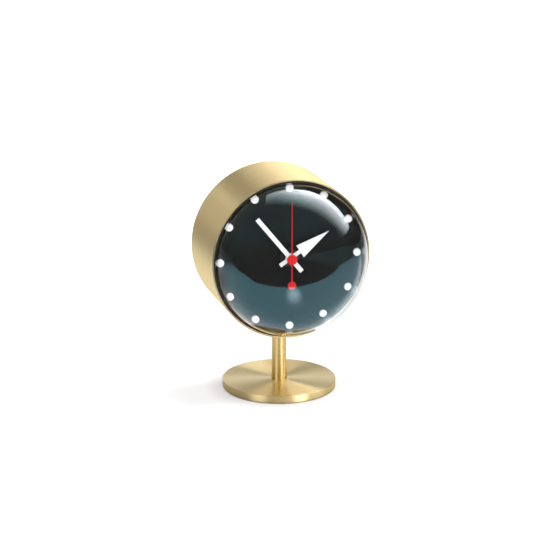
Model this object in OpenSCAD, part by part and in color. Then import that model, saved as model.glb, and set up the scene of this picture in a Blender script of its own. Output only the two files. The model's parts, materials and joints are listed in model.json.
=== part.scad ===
// Table clock: a brass drum on a post and disc, with a domed lens, raised hour dots and a quartz movement.
// Units are millimetres. The origin is the centre of the face it stands on, the post is on +Z, the dial faces -Y.

/* [Case] */
// Outer diameter of the brass drum
case_d = 108; // [90:1:130]
// Front rim to back rim of the drum
case_depth = 55; // [54:1:70]
// Wall of the drum
case_wall = 1; // [0.8:0.1:1.2]
// Front rim of the drum ahead of the post's axis
front_reach = 29.4; // [28:0.2:31]
// Height of the drum's axis above the table
axis_h = 97; // [82:1:130]
// Small bevel on the brass edges
edge_bevel = 0.3; // [0.1:0.1:0.4]

/* [Stand] */
// Diameter of the base disc
base_d = 77; // [70:1:110]
// Thickness of the base disc, without the pad below it
base_t = 5; // [4.6:0.2:10]
// Diameter of the post
stem_d = 10; // [9.6:0.2:14]
// Depth of the seat that the post stands in
stem_seat = 0.6; // [0.4:0.1:1]
// How far the edge of the pad under the base lies inside the base's edge
pad_margin = 3; // [2.5:0.5:18]
// Thickness of the pad
pad_t = 1.2; // [1:0.1:1.4]
// How far the pad stands out below the brass
pad_proud = 0.4; // [0.3:0.1:0.6]
// Diameter of the two screws that hold the post
stem_screw_d = 5; // [4:0.5:5]
// Head diameter of those screws
stem_screw_head_d = 8.5; // [8:0.5:9]
// Share of the post's length that each of those screws takes
stem_screw_grip_share = 0.31; // [0.2:0.01:0.42]

/* [Lens] */
// Width of the ring between the drum's bore and the lens
ring_w = 1.6; // [1.5:0.1:1.8]
// Wall of the lens
lens_wall = 1.8; // [1.4:0.1:1.8]
// Radius of the roll from the lens's side to its crown
lens_roll_r = 28; // [20:1:34]
// Slope at which the roll meets the crown, in degrees
lens_crown_angle = 22; // [18:1:30]
// Depth of the lens's foot behind the drum's front rim
lens_foot = 4; // [3:0.2:4]
// How far the seat ring lies behind the drum's front rim
ring_inset = 0.6; // [0.3:0.1:1]

/* [Dial] */
// Depth of the dial's face behind the drum's front rim
dial_sink = 6.3; // [6.2:0.1:7]
// Thickness of the dial
dial_t = 0.8; // [0.6:0.1:1.2]
// Number of hour dots
dot_count = 12; // [4:4:12]
// Diameter of a dot
dot_d = 5.3; // [4:0.1:5.3]
// Height of a dot above the dial
dot_h = 2.1; // [1:0.1:2.1]
// Diameter of the pin behind a dot
dot_pin_d = 2; // [1:0.1:3]
// Drum's bore to the circle through the dots
dot_edge = 5.7; // [5.7:0.1:12]

/* [Hands] */
// Centre to tip of the minute hand
minute_tip = 37.1; // [30:0.1:44]
// Centre to tail end of the minute hand
minute_tail = 11.3; // [8:0.1:14]
// Width of the minute hand
minute_w = 3; // [2.4:0.1:4]
// Minute hand at rest, in degrees clockwise from the top
minute_angle = 321; // [0:1:359]
// Centre to tip of the hour hand
hour_tip = 31.3; // [26:0.1:36]
// Centre to the back of the hour hand's arrow head
hour_head = 7.8; // [7:0.1:10]
// Width of the arrow head
hour_head_w = 9.8; // [8:0.1:12]
// Centre to tail end of the hour hand
hour_tail = 8.4; // [7:0.1:12]
// Width of the hour hand's shank
hour_w = 2.8; // [2.4:0.1:4]
// Hour hand at rest, in degrees clockwise from the top
hour_angle = 57.8; // [0:0.1:359]
// Centre to tip of the second hand
second_tip = 38.2; // [30:0.1:44]
// Width of the second hand's needle
second_w = 1.2; // [1:0.1:2]
// Centre to the disc on the second hand's tail
second_disc_reach = 17.7; // [14:0.1:24]
// Diameter of the disc on the tail
second_disc_d = 5.6; // [4:0.1:7]
// Diameter of the red boss in the centre
boss_d = 6.9; // [6:0.1:9]
// Thickness of each hand
hand_t = 0.6; // [0.4:0.1:0.6]

/* [Movement] */
// Side of the square movement
mov_side = 56; // [55.2:0.2:58]
// Thickness of the movement
mov_t = 16; // [15.6:0.2:20]
// Wall of the movement's shells
shell_wall = 1.2; // [1:0.1:1.3]
// Outer diameter of the threaded bush that holds the dial
bush_d = 8; // [7.4:0.2:9]
// Thickness of the rubber gasket behind the dial
gasket_t = 0.5; // [0.3:0.1:1]
// Radius of the second hand's arbor
second_arbor_r = 0.45; // [0.4:0.05:0.5]
// Radius of the small train arbors
arbor_r = 0.4; // [0.3:0.05:0.45]
// Radius of the setting arbor
setting_arbor_r = 1; // [0.8:0.1:1.1]
// Running clearance round each arbor and pipe
running_gap = 0.05; // [0.03:0.01:0.08]
// Clearance between faces that turn past each other
axial_gap = 0.3; // [0.25:0.05:0.35]
// Thickness of a wheel
wheel_t = 0.9; // [0.7:0.1:0.9]
// Dial centre to the setting arbor
setting_centres = 9.5; // [9.5:0.1:10]
// Dial centre to the third wheel's arbor
third_centres = 8; // [8:0.1:8.4]
// Dial centre to the intermediate wheel's arbor
middle_centres = 8; // [7.9:0.1:8.3]
// Intermediate wheel's arbor to the rotor's arbor
rotor_centres = 7; // [6.8:0.1:7.2]

/* [Back] */
// Depth of the back cover inside the drum's back rim
cover_inset = 7.6; // [7:0.2:9]
// Thickness of the back cover
cover_t = 3.4; // [3.4:0.1:4]
// Wall of the plastic parts inside the drum
frame_wall = 1.6; // [1.4:0.1:2]
// Diameter of the setting knob
knob_d = 20; // [16:1:24]
// Thickness of the setting knob
knob_t = 6; // [4:0.5:6.5]
// Diameter of the setting rod
rod_d = 4; // [3.4:0.1:5]
// Diameter of the battery
battery_d = 14.2; // [13.5:0.1:14.5]
// Length of the battery's can, without its button
battery_can = 49.5; // [48:0.5:50.5]
// Bottom of the drum's bore up to the battery's axis
battery_rise = 26; // [24:0.5:30]
// Thickness of the battery door
door_t = 2; // [2:0.1:2.4]
// Clearance round the battery door
door_gap = 0.3; // [0.3:0.05:0.4]
// Radius of the door's hinge pins
door_pin_r = 0.52; // [0.4:0.02:0.55]
// Diameter of the three cover screws
cover_screw_d = 3; // [2.5:0.5:3]

/* [Hidden] */
$fn = 96;

// One overrun serves every cut
over = 0.5;
// Clearance between pieces that are pushed or screwed together
seat_gap = 0.05;

// Colours
BRASS = "#C9A95F";
STEEL = "#B8BABD";
BLACK = "#1C1E20";
WHITE = "#F4F6F6";
RED = "#D81E28";
CREAM = "#E6E1D3";

// Levels along the drum's axis, forward of the post
case_r = case_d / 2;
bore_r = case_r - case_wall;
case_front = front_reach;
case_back = front_reach - case_depth;
dial_front = case_front - dial_sink;
dial_back = dial_front - dial_t;
mov_front = dial_back - gasket_t;
cover_back = case_back + cover_inset;
cover_front = cover_back + cover_t;

// Stand
pad_sink = pad_t - pad_proud;
pad_r = base_d / 2 - pad_margin;
base_top = pad_proud + base_t;
stem_r = stem_d / 2;
stem_screw_r = stem_screw_d / 2;
stem_screw_head_r = stem_screw_head_d / 2;
low_head_t = 1.8;
cap_head_t = 3.5;
hex_key_d = 4;
hex_key_depth = 1.2;
saddle_r = 8;
saddle_t = 3;
drum_floor = axis_h - bore_r;
stem_len = axis_h - case_r - base_top + stem_seat;
stem_screw_grip = stem_len * stem_screw_grip_share;
screw_tip_gap = 1.5;

// Lens
lens_r = bore_r - ring_w;
roll_centre_r = lens_r - lens_roll_r;
crown_r = lens_roll_r + roll_centre_r / sin(lens_crown_angle);
crown_centre_z = -roll_centre_r / tan(lens_crown_angle);
crown_steps = 8;
roll_steps = 20;
shoulder_w = 1.1;
shoulder_r = lens_r - shoulder_w;
ring_r = bore_r - seat_gap;
groove_gap = 0.1;

// Dial and hands: heights above the dial's face
bush_r = bush_d / 2;
dial_r = bore_r - seat_gap * 2;
dot_circle_r = bore_r - dot_edge;
washer_r = 6.5;
washer_t = 0.4;
nut_across_flats = 11;
nut_t = 1.7;
bush_above = 2.2;
hour_level = 2.6;
hour_pipe_above = hour_level + hand_t;
minute_level = 5.2;
minute_pipe_above = minute_level + hand_t;
second_level = 6.4;
boss_t = 1.1;
boss_bevel = 0.3;
second_arbor_above = second_level + hand_t + 0.5 * boss_t;
hand_hub_r = 3.4;
minute_hub_r = 3;
second_hub_r = 1.6;
second_t = 0.5;
needle_tip_share = 0.7;

// Pipes, one inside the other
tube_bore_r = second_arbor_r + running_gap;
tube_r = 0.95;
cannon_bore_r = tube_r + running_gap;
cannon_r = 1.6;
hour_bore_r = cannon_r + running_gap;
hour_pipe_r = 2.4;
bush_bore_r = hour_pipe_r + running_gap;
press_gap = 0.01;

// Movement: depths behind the movement's front face
inside_side = mov_side - 2 * shell_wall;
pinion_over = 0.1;
pinion_len = 1.3;
plate_t = 0.9;
clutch_t = 0.3;
hour_depth = shell_wall + axial_gap;
cannon_depth = hour_depth + wheel_t + axial_gap;
motion_depth = cannon_depth + (pinion_len - wheel_t) / 2;
plate_depth = cannon_depth + pinion_len + axial_gap;
centre_depth = plate_depth + plate_t + 2 * axial_gap;
third_depth = centre_depth + wheel_t + 2 * axial_gap;
second_depth = third_depth + wheel_t + 2 * axial_gap;
middle_depth = second_depth + wheel_t + 2 * axial_gap;
post_depth = middle_depth + wheel_t + 2 * axial_gap;
pivot_len = 1.1;
pivot_room = 0.2;
arbor_back = post_depth + pivot_len;
arbor_front = plate_depth + running_gap;
post_r = 1.6;
clutch_r = 2.6;
collar_r = 1.8;
collar_back = centre_depth - clutch_t - 2 * running_gap;
clutch_front = centre_depth - clutch_t - running_gap;

// Tooth numbers: 12 turns of the minute hand to 1 of the hour hand, 60 to 1 and 30 to 1 in the train
CANNON_TEETH = 12;
MOTION_TEETH = 36;
MOTION_PINION_TEETH = 10;
HOUR_TEETH = 40;
SECOND_PINION_TEETH = 8;
THIRD_TEETH = 60;
THIRD_PINION_TEETH = 8;
CENTRE_TEETH = 64;
ROTOR_PINION_TEETH = 8;
MIDDLE_TEETH = 48;
MIDDLE_PINION_TEETH = 10;
SECOND_TEETH = 50;

// Tooth form, in modules and in shares of the pitch: addendum, dedendum, width at pitch, tip and root
pinion_tooth_shares = [0.7, 1.25, 0.34, 0.14, 0.30];
wheel_tooth_shares = [0.9, 1.1, 0.42, 0.12, 0.46];

// Places of the arbors, seen from the front
setting_dir = 90;
third_dir = 200;
middle_dir = 310;
rotor_dir = 330;
centre_at = [0, 0];
setting_at = polar(setting_centres, setting_dir);
third_at = polar(third_centres, third_dir);
middle_at = polar(middle_centres, middle_dir);
rotor_at = middle_at + polar(rotor_centres, rotor_dir);

// Motor and circuit
magnet_r = 2;
magnet_gap = 0.5;
stator_t = 0.8;
stator_lag = 0.4;
stator_margin = 1.6;
leg_w = 2.4;
leg_drop = 13.5;
core_h = 3;
winding_step = 0.3;
bobbin_gap = 0.4;
bobbin_flange_t = 0.6;
bobbin_clear = 0.2;
notch_gap = 0.9;
board_t = 1;
board_size = [21, 13];
board_corner = [-25, -25.4];
crystal_r = 1;
crystal_len = 6;
crystal_at = [-20, -15.5];
chip_r = 2.6;
chip_t = 0.9;
chip_at = [-10, -19.5];

// Back
frame_r = bore_r - 2 * seat_gap;
frame_bore_r = frame_r - frame_wall;
cover_r = bore_r - door_gap;
screw_inset = 7;
screw_circle_r = bore_r - screw_inset;
boss_r = 3.2;
boss_len = 18;
cover_screw_r = cover_screw_d / 2;
cover_screw_head_r = 2.8;
cover_screw_head_t = 1.8;
cover_screw_len = 10;
cross_slot = [3.4, 0.7, 0.8];
screw_dirs = [90, 200, 340];
screw_hole_gap = 0.2;
rod_r = rod_d / 2;
rod_hole_r = rod_r + running_gap;
rod_front_gap = 0.6;
setting_arbor_out = 5;
knob_r = knob_d / 2;
knob_lift = 0.6;
knob_skin = 1.4;
knob_bevel = 0.8;
flute_count = 18;
flute_r = 0.8;
battery_r = battery_d / 2;
button_r = 2.75;
button_len = 1;
spring_len = 6;
contact_t = 0.6;
contact_side = 12;
tab_w = 3;
tab_out = 2;
lead_r = 0.6;
lead_step = 1.2;
lead_inset = 6;
lead_edge = 3;
lead_drop = mov_side / 2 - lead_edge;
battery_room = 0.8;
battery_drop = bore_r - battery_rise;
well_len = battery_can + button_len + spring_len + 2 * contact_t + pivot_room;
well_h = battery_d + 2 * battery_room;
battery_back_gap = 2.2;
battery_fwd = cover_back + battery_back_gap + battery_r;
well_floor = battery_fwd + battery_r + battery_room;
ledge = 1.4;
ledge_end = 2.2;
door_len = well_len + 2 * ledge_end;
hinge_drop = battery_drop + well_h / 2 + ledge;
hinge_r = door_t / 2;
door_top_drop = battery_drop - well_h / 2 - ledge;
hinge_fwd = cover_back + hinge_r;
door_pin_len = 1.1;
door_pin_room = 0.4;
rebate_fwd = cover_back + door_t + door_gap;
notch_r = 6;
notch_depth = 1.8;
rib_count = 3;
rib_len = 14;
rib_w = 0.8;
rib_h = 0.5;
rib_pitch = 2;

// A point at a distance and direction from the dial's centre
function polar(r, a) = [r * cos(a), r * sin(a)];

// Module of two gears that mesh at a given distance
function module_of(centres, teeth_a, teeth_b) = 2 * centres / (teeth_a + teeth_b);

// Outline of one gear, with a tooth centred on the direction aim
function gear_points(teeth, m, shares, aim) = [
    for (i = [0 : teeth - 1])
    for (p = [[-shares[1], -shares[4]], [0, -shares[2]], [shares[0], -shares[3]],
              [shares[0], shares[3]], [0, shares[2]], [-shares[1], shares[4]]])
    polar(m * (teeth / 2 + p[0]), aim + (i + p[1] / 2) * 360 / teeth)];

// Local frame on the drum's axis: x to the right, y up, z forward out of the dial
module on_axis() translate([0, 0, axis_h]) rotate([90, 0, 0]) children();

// A flat outline between two forward levels
module slab(front, back) translate([0, 0, back]) linear_extrude(front - back) children();

// A flat outline between two depths inside the movement
module layer(near, far) slab(mov_front - near, mov_front - far) children();

module disc(r, at = centre_at) translate(at) circle(r = r);

module annulus(r_out, r_in, at = centre_at) difference() {
    disc(r_out, at);
    disc(r_in, at);
}

module box2d(w, h, at = centre_at) translate(at) square([w, h], center = true);

// Driver of a pair: a tooth points at its partner
module driver(teeth, m, at, partner_dir) translate(at)
    polygon(gear_points(teeth, m, pinion_tooth_shares, partner_dir));

// Driven wheel of a pair: a gap points at its partner
module driven(teeth, m, at, partner_dir) translate(at)
    polygon(gear_points(teeth, m, wheel_tooth_shares, partner_dir + 180 / teeth));

// Outline of a hand laid along a clock angle, drawn pointing up
module at_clock(angle) rotate(-angle) children();

// Base, post and their screws
module base_disc() color(BRASS) difference() {
    rotate_extrude() polygon([
        [0, pad_proud],
        [base_d / 2 - edge_bevel, pad_proud],
        [base_d / 2, pad_proud + edge_bevel],
        [base_d / 2, base_top - edge_bevel],
        [base_d / 2 - edge_bevel, base_top],
        [0, base_top]]);
    translate([0, 0, pad_proud - over]) cylinder(r = pad_r + seat_gap, h = pad_sink + over);
    translate([0, 0, pad_proud]) cylinder(r = stem_screw_head_r + seat_gap, h = pad_sink + low_head_t);
    translate([0, 0, pad_proud]) cylinder(r = stem_screw_r + seat_gap, h = base_t + over);
    translate([0, 0, base_top - stem_seat]) cylinder(r = stem_r + seat_gap, h = stem_seat + over);
}

module base_pad() color(BLACK) cylinder(r = pad_r, h = pad_t);

module base_screw() color(STEEL) translate([0, 0, pad_t]) difference() {
    union() {
        cylinder(r = stem_screw_head_r, h = low_head_t);
        cylinder(r = stem_screw_r, h = base_top - pad_t + stem_screw_grip);
    }
    translate([0, 0, -over]) cylinder(d = hex_key_d, h = hex_key_depth + over, $fn = 6);
}

module stem() color(BRASS) difference() {
    translate([0, 0, base_top - stem_seat]) cylinder(r = stem_r, h = drum_floor - base_top + stem_seat);
    on_axis() slab(stem_d, -stem_d) disc(case_r);
    translate([0, 0, base_top - stem_seat - over])
        cylinder(r = stem_screw_r + seat_gap, h = stem_screw_grip + screw_tip_gap + over);
    translate([0, 0, drum_floor - case_wall - stem_screw_grip - screw_tip_gap])
        cylinder(r = stem_screw_r + seat_gap, h = stem_screw_grip + screw_tip_gap + case_wall + over);
}

module saddle_washer() color(STEEL) difference() {
    intersection() {
        translate([0, 0, drum_floor - over]) cylinder(r = saddle_r, h = saddle_t + over);
        on_axis() slab(saddle_r * 2, -saddle_r * 2) disc(bore_r);
    }
    translate([0, 0, drum_floor - over]) cylinder(r = stem_screw_r + seat_gap, h = saddle_t + 2 * over);
}

module stem_screw() color(STEEL) translate([0, 0, drum_floor + saddle_t]) difference() {
    union() {
        cylinder(r = stem_screw_head_r, h = cap_head_t);
        translate([0, 0, -saddle_t - case_wall - stem_screw_grip])
            cylinder(r = stem_screw_r, h = saddle_t + case_wall + stem_screw_grip);
    }
    translate([0, 0, cap_head_t - hex_key_depth])
        cylinder(d = hex_key_d, h = hex_key_depth + over, $fn = 6);
}

// Drum, lens and dial
module case_drum() color(BRASS) difference() {
    on_axis() rotate_extrude() polygon([
        [bore_r, case_back],
        [case_r - edge_bevel, case_back],
        [case_r, case_back + edge_bevel],
        [case_r, case_front - edge_bevel],
        [case_r - edge_bevel, case_front],
        [bore_r, case_front]]);
    translate([0, 0, drum_floor - case_d / 4])
        cylinder(r = stem_screw_r + seat_gap, h = case_d / 4 + over);
}

// Points of the lens's outline from its crown to its foot, drawn in from the outer face by inset
function dome_points(inset, foot) = concat(
    [for (i = [0 : crown_steps]) let (a = lens_crown_angle * i / crown_steps)
        [(crown_r - inset) * sin(a), crown_centre_z + (crown_r - inset) * cos(a)]],
    [for (i = [1 : roll_steps]) let (a = lens_crown_angle + (90 - lens_crown_angle) * i / roll_steps)
        [roll_centre_r + (lens_roll_r - inset) * sin(a), (lens_roll_r - inset) * cos(a)]],
    [[lens_r - inset, -foot]]);

function reversed(points) = [for (i = [1 : len(points)]) points[len(points) - i]];

module lens() color(WHITE, 0.3) on_axis() translate([0, 0, case_front]) rotate_extrude()
    polygon(concat(dome_points(0, lens_foot), reversed(dome_points(lens_wall, lens_foot))));

module lens_seat_ring() color(BLACK) on_axis() rotate_extrude() polygon([
    [shoulder_r, dial_front],
    [ring_r, dial_front],
    [ring_r, case_front - ring_inset],
    [lens_r + groove_gap, case_front - ring_inset],
    [lens_r + groove_gap, case_front - lens_foot],
    [shoulder_r, case_front - lens_foot]]);

module dial() color(BLACK) on_axis() slab(dial_front, dial_back) difference() {
    disc(dial_r);
    disc(bush_r + seat_gap);
    for (i = [0 : dot_count - 1]) disc(dot_pin_d / 2 + seat_gap, polar(dot_circle_r, i * 360 / dot_count));
}

module hour_dots() color(WHITE) on_axis() for (i = [0 : dot_count - 1])
    translate(polar(dot_circle_r, i * 360 / dot_count)) {
        slab(dial_front + dot_h, dial_front) disc(dot_d / 2);
        slab(dial_front + seat_gap, dial_back) disc(dot_pin_d / 2);
    }

// Plastic frame inside the drum, with bosses for the cover's screws
module inner_frame() color(BLACK) difference() {
    on_axis() {
        slab(dial_back, cover_front) annulus(frame_r, frame_bore_r);
        slab(cover_front + boss_len, cover_front) for (a = screw_dirs) difference() {
            union() {
                disc(boss_r, polar(screw_circle_r, a));
                intersection() {
                    rotate(a) translate([screw_circle_r, -boss_r]) square([frame_r, 2 * boss_r]);
                    disc(frame_bore_r + frame_wall / 2);
                }
            }
            disc(cover_screw_r + seat_gap, polar(screw_circle_r, a));
        }
    }
    translate([0, 0, drum_floor - over]) cylinder(r = saddle_r + screw_hole_gap, h = saddle_t + frame_wall + over);
}

// Back cover with its battery well, and the door that closes it
module rear_cover() color(BLACK) on_axis() difference() {
    union() {
        slab(cover_front, cover_back) disc(cover_r);
        slab(well_floor + frame_wall, cover_back)
            box2d(well_len + 2 * frame_wall, well_h + 2 * frame_wall, [0, -battery_drop]);
    }
    slab(well_floor, cover_back - over) box2d(well_len, well_h, [0, -battery_drop]);
    slab(rebate_fwd, cover_back - over)
        translate([-door_len / 2 - door_gap, -hinge_drop - hinge_r - door_gap])
        square([door_len + 2 * door_gap, hinge_drop + hinge_r - door_top_drop + 2 * door_gap]);
    slab(cover_back + notch_depth, cover_back - over) disc(notch_r, [0, -door_top_drop]);
    translate([-door_len / 2 - door_pin_len - door_pin_room, -hinge_drop, hinge_fwd]) rotate([0, 90, 0])
        cylinder(r = door_pin_r + running_gap, h = door_len + 2 * (door_pin_len + door_pin_room));
    slab(cover_front + over, cover_back - over) {
        disc(rod_hole_r, setting_at);
        for (a = screw_dirs) disc(cover_screw_r + screw_hole_gap, polar(screw_circle_r, a));
    }
    for (s = [-1, 1]) slab(well_floor + frame_wall + over, well_floor - over)
        box2d(contact_t + 2 * seat_gap, tab_w + 2 * seat_gap,
            [s * (well_len - contact_t) / 2, -battery_drop]);
}

module cover_screws() color(STEEL) on_axis() for (a = screw_dirs) translate(polar(screw_circle_r, a))
    difference() {
        union() {
            slab(cover_back, cover_back - cover_screw_head_t) disc(cover_screw_head_r);
            slab(cover_back + cover_screw_len, cover_back - cover_screw_head_t) disc(cover_screw_r);
        }
        slab(cover_back - cover_screw_head_t + cross_slot[2], cover_back - cover_screw_head_t - over) {
            box2d(cross_slot[0], cross_slot[1]);
            box2d(cross_slot[1], cross_slot[0]);
        }
    }

module battery_door() color(BLACK) on_axis() {
    slab(cover_back + door_t, cover_back)
        translate([-door_len / 2, -hinge_drop]) square([door_len, hinge_drop - door_top_drop]);
    translate([-door_len / 2, -hinge_drop, hinge_fwd]) rotate([0, 90, 0]) cylinder(r = hinge_r, h = door_len);
    translate([-door_len / 2 - door_pin_len, -hinge_drop, hinge_fwd]) rotate([0, 90, 0])
        cylinder(r = door_pin_r, h = door_len + 2 * door_pin_len);
    for (i = [1 : rib_count]) slab(cover_back + over, cover_back - rib_h)
        box2d(rib_len, rib_w, [0, -door_top_drop - i * rib_pitch]);
}

// Battery and its contacts; the spring is at the left end, seen from the front
module battery() color(STEEL) on_axis()
    translate([-well_len / 2 + contact_t + spring_len, -battery_drop, battery_fwd]) rotate([0, 90, 0]) {
        cylinder(r = battery_r, h = battery_can);
        cylinder(r = button_r, h = battery_can + button_len);
    }

module contact(side) {
    translate([side * (well_len - contact_t) / 2, -battery_drop, battery_fwd])
        cube([contact_t, contact_side, contact_side], center = true);
    slab(well_floor + frame_wall + tab_out, battery_fwd)
        box2d(contact_t, tab_w, [side * (well_len - contact_t) / 2, -battery_drop]);
}

module spring_contact() color(STEEL) on_axis() {
    contact(-1);
    translate([-well_len / 2 + contact_t, -battery_drop, battery_fwd]) rotate([0, 90, 0])
        cylinder(r1 = contact_side / 2 - battery_room, r2 = button_r, h = spring_len);
}

module plate_contact() color(STEEL) on_axis() contact(1);

module battery_leads() color(RED) on_axis() for (s = [-1, 1]) {
    tab_x = s * (well_len - contact_t) / 2;
    lead_x = tab_x - s * lead_inset;
    turn_fwd = well_floor + frame_wall + tab_out + lead_step;
    translate([tab_x, -battery_drop, turn_fwd - lead_step]) cylinder(r = lead_r, h = lead_step);
    translate([tab_x, -battery_drop, turn_fwd]) sphere(r = lead_r);
    translate([tab_x, -battery_drop, turn_fwd]) rotate([0, -s * 90, 0]) cylinder(r = lead_r, h = lead_inset);
    translate([lead_x, -battery_drop, turn_fwd]) sphere(r = lead_r);
    translate([lead_x, -max(battery_drop, lead_drop), turn_fwd]) rotate([-90, 0, 0])
        cylinder(r = lead_r, h = abs(battery_drop - lead_drop));
    translate([lead_x, -lead_drop, turn_fwd]) {
        sphere(r = lead_r);
        cylinder(r = lead_r, h = mov_front - mov_t - turn_fwd);
    }
}

// Movement: shells, plate and what clamps it to the dial
module movement_front_shell() color(BLACK) on_axis() {
    layer(0, shell_wall) difference() {
        box2d(mov_side, mov_side);
        disc(bush_bore_r);
    }
    layer(shell_wall, plate_depth) difference() {
        box2d(mov_side, mov_side);
        box2d(inside_side, inside_side);
    }
    slab(dial_front + bush_above, mov_front) annulus(bush_r, bush_bore_r);
}

module train_plate() color(CREAM) on_axis() layer(plate_depth, plate_depth + plate_t) difference() {
    box2d(mov_side, mov_side);
    disc(collar_r + axial_gap);
    disc(setting_arbor_r + running_gap, setting_at);
    for (p = [third_at, middle_at, rotor_at]) disc(arbor_r + running_gap, p);
}

module movement_rear_shell() color(BLACK) on_axis() {
    layer(plate_depth + plate_t, mov_t - shell_wall) difference() {
        box2d(mov_side, mov_side);
        box2d(inside_side, inside_side);
    }
    layer(mov_t - shell_wall, mov_t) difference() {
        box2d(mov_side, mov_side);
        disc(setting_arbor_r + running_gap, setting_at);
    }
    difference() {
        layer(post_depth, mov_t - shell_wall) for (p = [centre_at, third_at, middle_at, rotor_at]) disc(post_r, p);
        layer(post_depth - over, arbor_back + pivot_room) {
            disc(tube_bore_r);
            for (p = [third_at, middle_at, rotor_at]) disc(arbor_r + running_gap, p);
        }
    }
}

module movement_gasket() color(BLACK) on_axis() slab(dial_back, mov_front) annulus(washer_r + gasket_t, bush_r + seat_gap);

module dial_washer() color(STEEL) on_axis() slab(dial_front + washer_t, dial_front)
    annulus(washer_r, bush_r + seat_gap);

module dial_nut() color(STEEL) on_axis() slab(dial_front + washer_t + nut_t, dial_front + washer_t) difference() {
    rotate(30) circle(d = nut_across_flats / cos(30), $fn = 6);
    disc(bush_r + seat_gap);
}

// Second hand's wheel and the train that it belongs to
module second_arbor() color(STEEL) on_axis() slab(dial_front + second_arbor_above, mov_front - arbor_back)
    disc(second_arbor_r);

module second_wheel() color(CREAM) on_axis() {
    layer(third_depth - pinion_over, second_depth) difference() {
        driver(SECOND_PINION_TEETH, module_of(third_centres, SECOND_PINION_TEETH, THIRD_TEETH), centre_at, third_dir);
        disc(second_arbor_r + press_gap);
    }
    layer(second_depth, second_depth + wheel_t) difference() {
        driven(SECOND_TEETH, module_of(middle_centres, MIDDLE_PINION_TEETH, SECOND_TEETH), centre_at, middle_dir);
        disc(second_arbor_r + press_gap);
    }
}

module third_wheel() color(CREAM) on_axis() {
    layer(arbor_front, arbor_back) disc(arbor_r, third_at);
    layer(centre_depth - pinion_over, third_depth)
        driver(THIRD_PINION_TEETH, module_of(third_centres, THIRD_PINION_TEETH, CENTRE_TEETH), third_at,
            third_dir + 180);
    layer(third_depth, third_depth + wheel_t)
        driven(THIRD_TEETH, module_of(third_centres, SECOND_PINION_TEETH, THIRD_TEETH), third_at, third_dir + 180);
}

module centre_wheel() color(BRASS) on_axis() {
    layer(centre_depth, centre_depth + wheel_t) difference() {
        driven(CENTRE_TEETH, module_of(third_centres, THIRD_PINION_TEETH, CENTRE_TEETH), centre_at, third_dir);
        disc(tube_bore_r);
    }
    slab(dial_front + hour_level, mov_front - centre_depth) annulus(tube_r, tube_bore_r);
}

module clutch_washer() color(STEEL) on_axis() layer(clutch_front, clutch_front + clutch_t)
    annulus(clutch_r, tube_r + press_gap);

module intermediate_wheel() color(CREAM) on_axis() {
    layer(arbor_front, arbor_back) disc(arbor_r, middle_at);
    layer(second_depth - pinion_over, middle_depth)
        driver(MIDDLE_PINION_TEETH, module_of(middle_centres, MIDDLE_PINION_TEETH, SECOND_TEETH), middle_at,
            middle_dir + 180);
    layer(middle_depth, middle_depth + wheel_t)
        driven(MIDDLE_TEETH, module_of(rotor_centres, ROTOR_PINION_TEETH, MIDDLE_TEETH), middle_at, rotor_dir);
}

module rotor() color(STEEL) on_axis() {
    layer(arbor_front, arbor_back) disc(arbor_r, rotor_at);
    layer(third_depth, second_depth + wheel_t) disc(magnet_r, rotor_at);
    layer(middle_depth - pinion_over, middle_depth + wheel_t + pinion_over)
        driver(ROTOR_PINION_TEETH, module_of(rotor_centres, ROTOR_PINION_TEETH, MIDDLE_TEETH), rotor_at,
            rotor_dir + 180);
}

// Hour and minute pipes, and the wheel that sets them from the back
module cannon_pinion() color(BRASS) on_axis() {
    layer(cannon_depth, cannon_depth + pinion_len) difference() {
        driver(CANNON_TEETH, module_of(setting_centres, CANNON_TEETH, MOTION_TEETH), centre_at, setting_dir);
        disc(cannon_bore_r);
    }
    layer(cannon_depth + pinion_len, collar_back) annulus(collar_r, cannon_bore_r);
    slab(dial_front + minute_pipe_above, mov_front - cannon_depth) annulus(cannon_r, cannon_bore_r);
}

module motion_wheel() color(CREAM) on_axis() {
    layer(hour_depth, mov_t + setting_arbor_out) disc(setting_arbor_r, setting_at);
    layer(hour_depth, motion_depth)
        driver(MOTION_PINION_TEETH, module_of(setting_centres, MOTION_PINION_TEETH, HOUR_TEETH), setting_at,
            setting_dir + 180);
    layer(motion_depth, motion_depth + wheel_t)
        driven(MOTION_TEETH, module_of(setting_centres, CANNON_TEETH, MOTION_TEETH), setting_at, setting_dir + 180);
}

module hour_wheel() color(CREAM) on_axis() {
    layer(hour_depth, hour_depth + wheel_t) difference() {
        driven(HOUR_TEETH, module_of(setting_centres, MOTION_PINION_TEETH, HOUR_TEETH), centre_at, setting_dir);
        disc(hour_bore_r);
    }
    slab(dial_front + hour_pipe_above, mov_front - hour_depth) annulus(hour_pipe_r, hour_bore_r);
}

// Stepping motor and circuit
stator_size = 2 * (magnet_r + magnet_gap + stator_margin);
stator_depth = third_depth + stator_lag;
core_mid = rotor_at - [0, leg_drop];
coil_depth = stator_depth + 1.5 * stator_t;
bobbin_flange_r = coil_depth - plate_depth - plate_t - bobbin_clear;
bobbin_r = bobbin_flange_r - winding_step;

module stator() color(STEEL) on_axis() {
    layer(stator_depth, stator_depth + stator_t) difference() {
        union() {
            box2d(stator_size + 2 * leg_w, stator_size, rotor_at);
            for (s = [-1, 1])
                translate(rotor_at + [s * (stator_size + leg_w) / 2 - leg_w / 2, -leg_drop - core_h / 2])
                square([leg_w, leg_drop + core_h / 2]);
        }
        disc(magnet_r + magnet_gap, rotor_at);
        disc(arbor_r + notch_gap, middle_at);
    }
    layer(stator_depth + stator_t, stator_depth + 2 * stator_t) box2d(stator_size + 2 * leg_w, core_h, core_mid);
}

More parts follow.
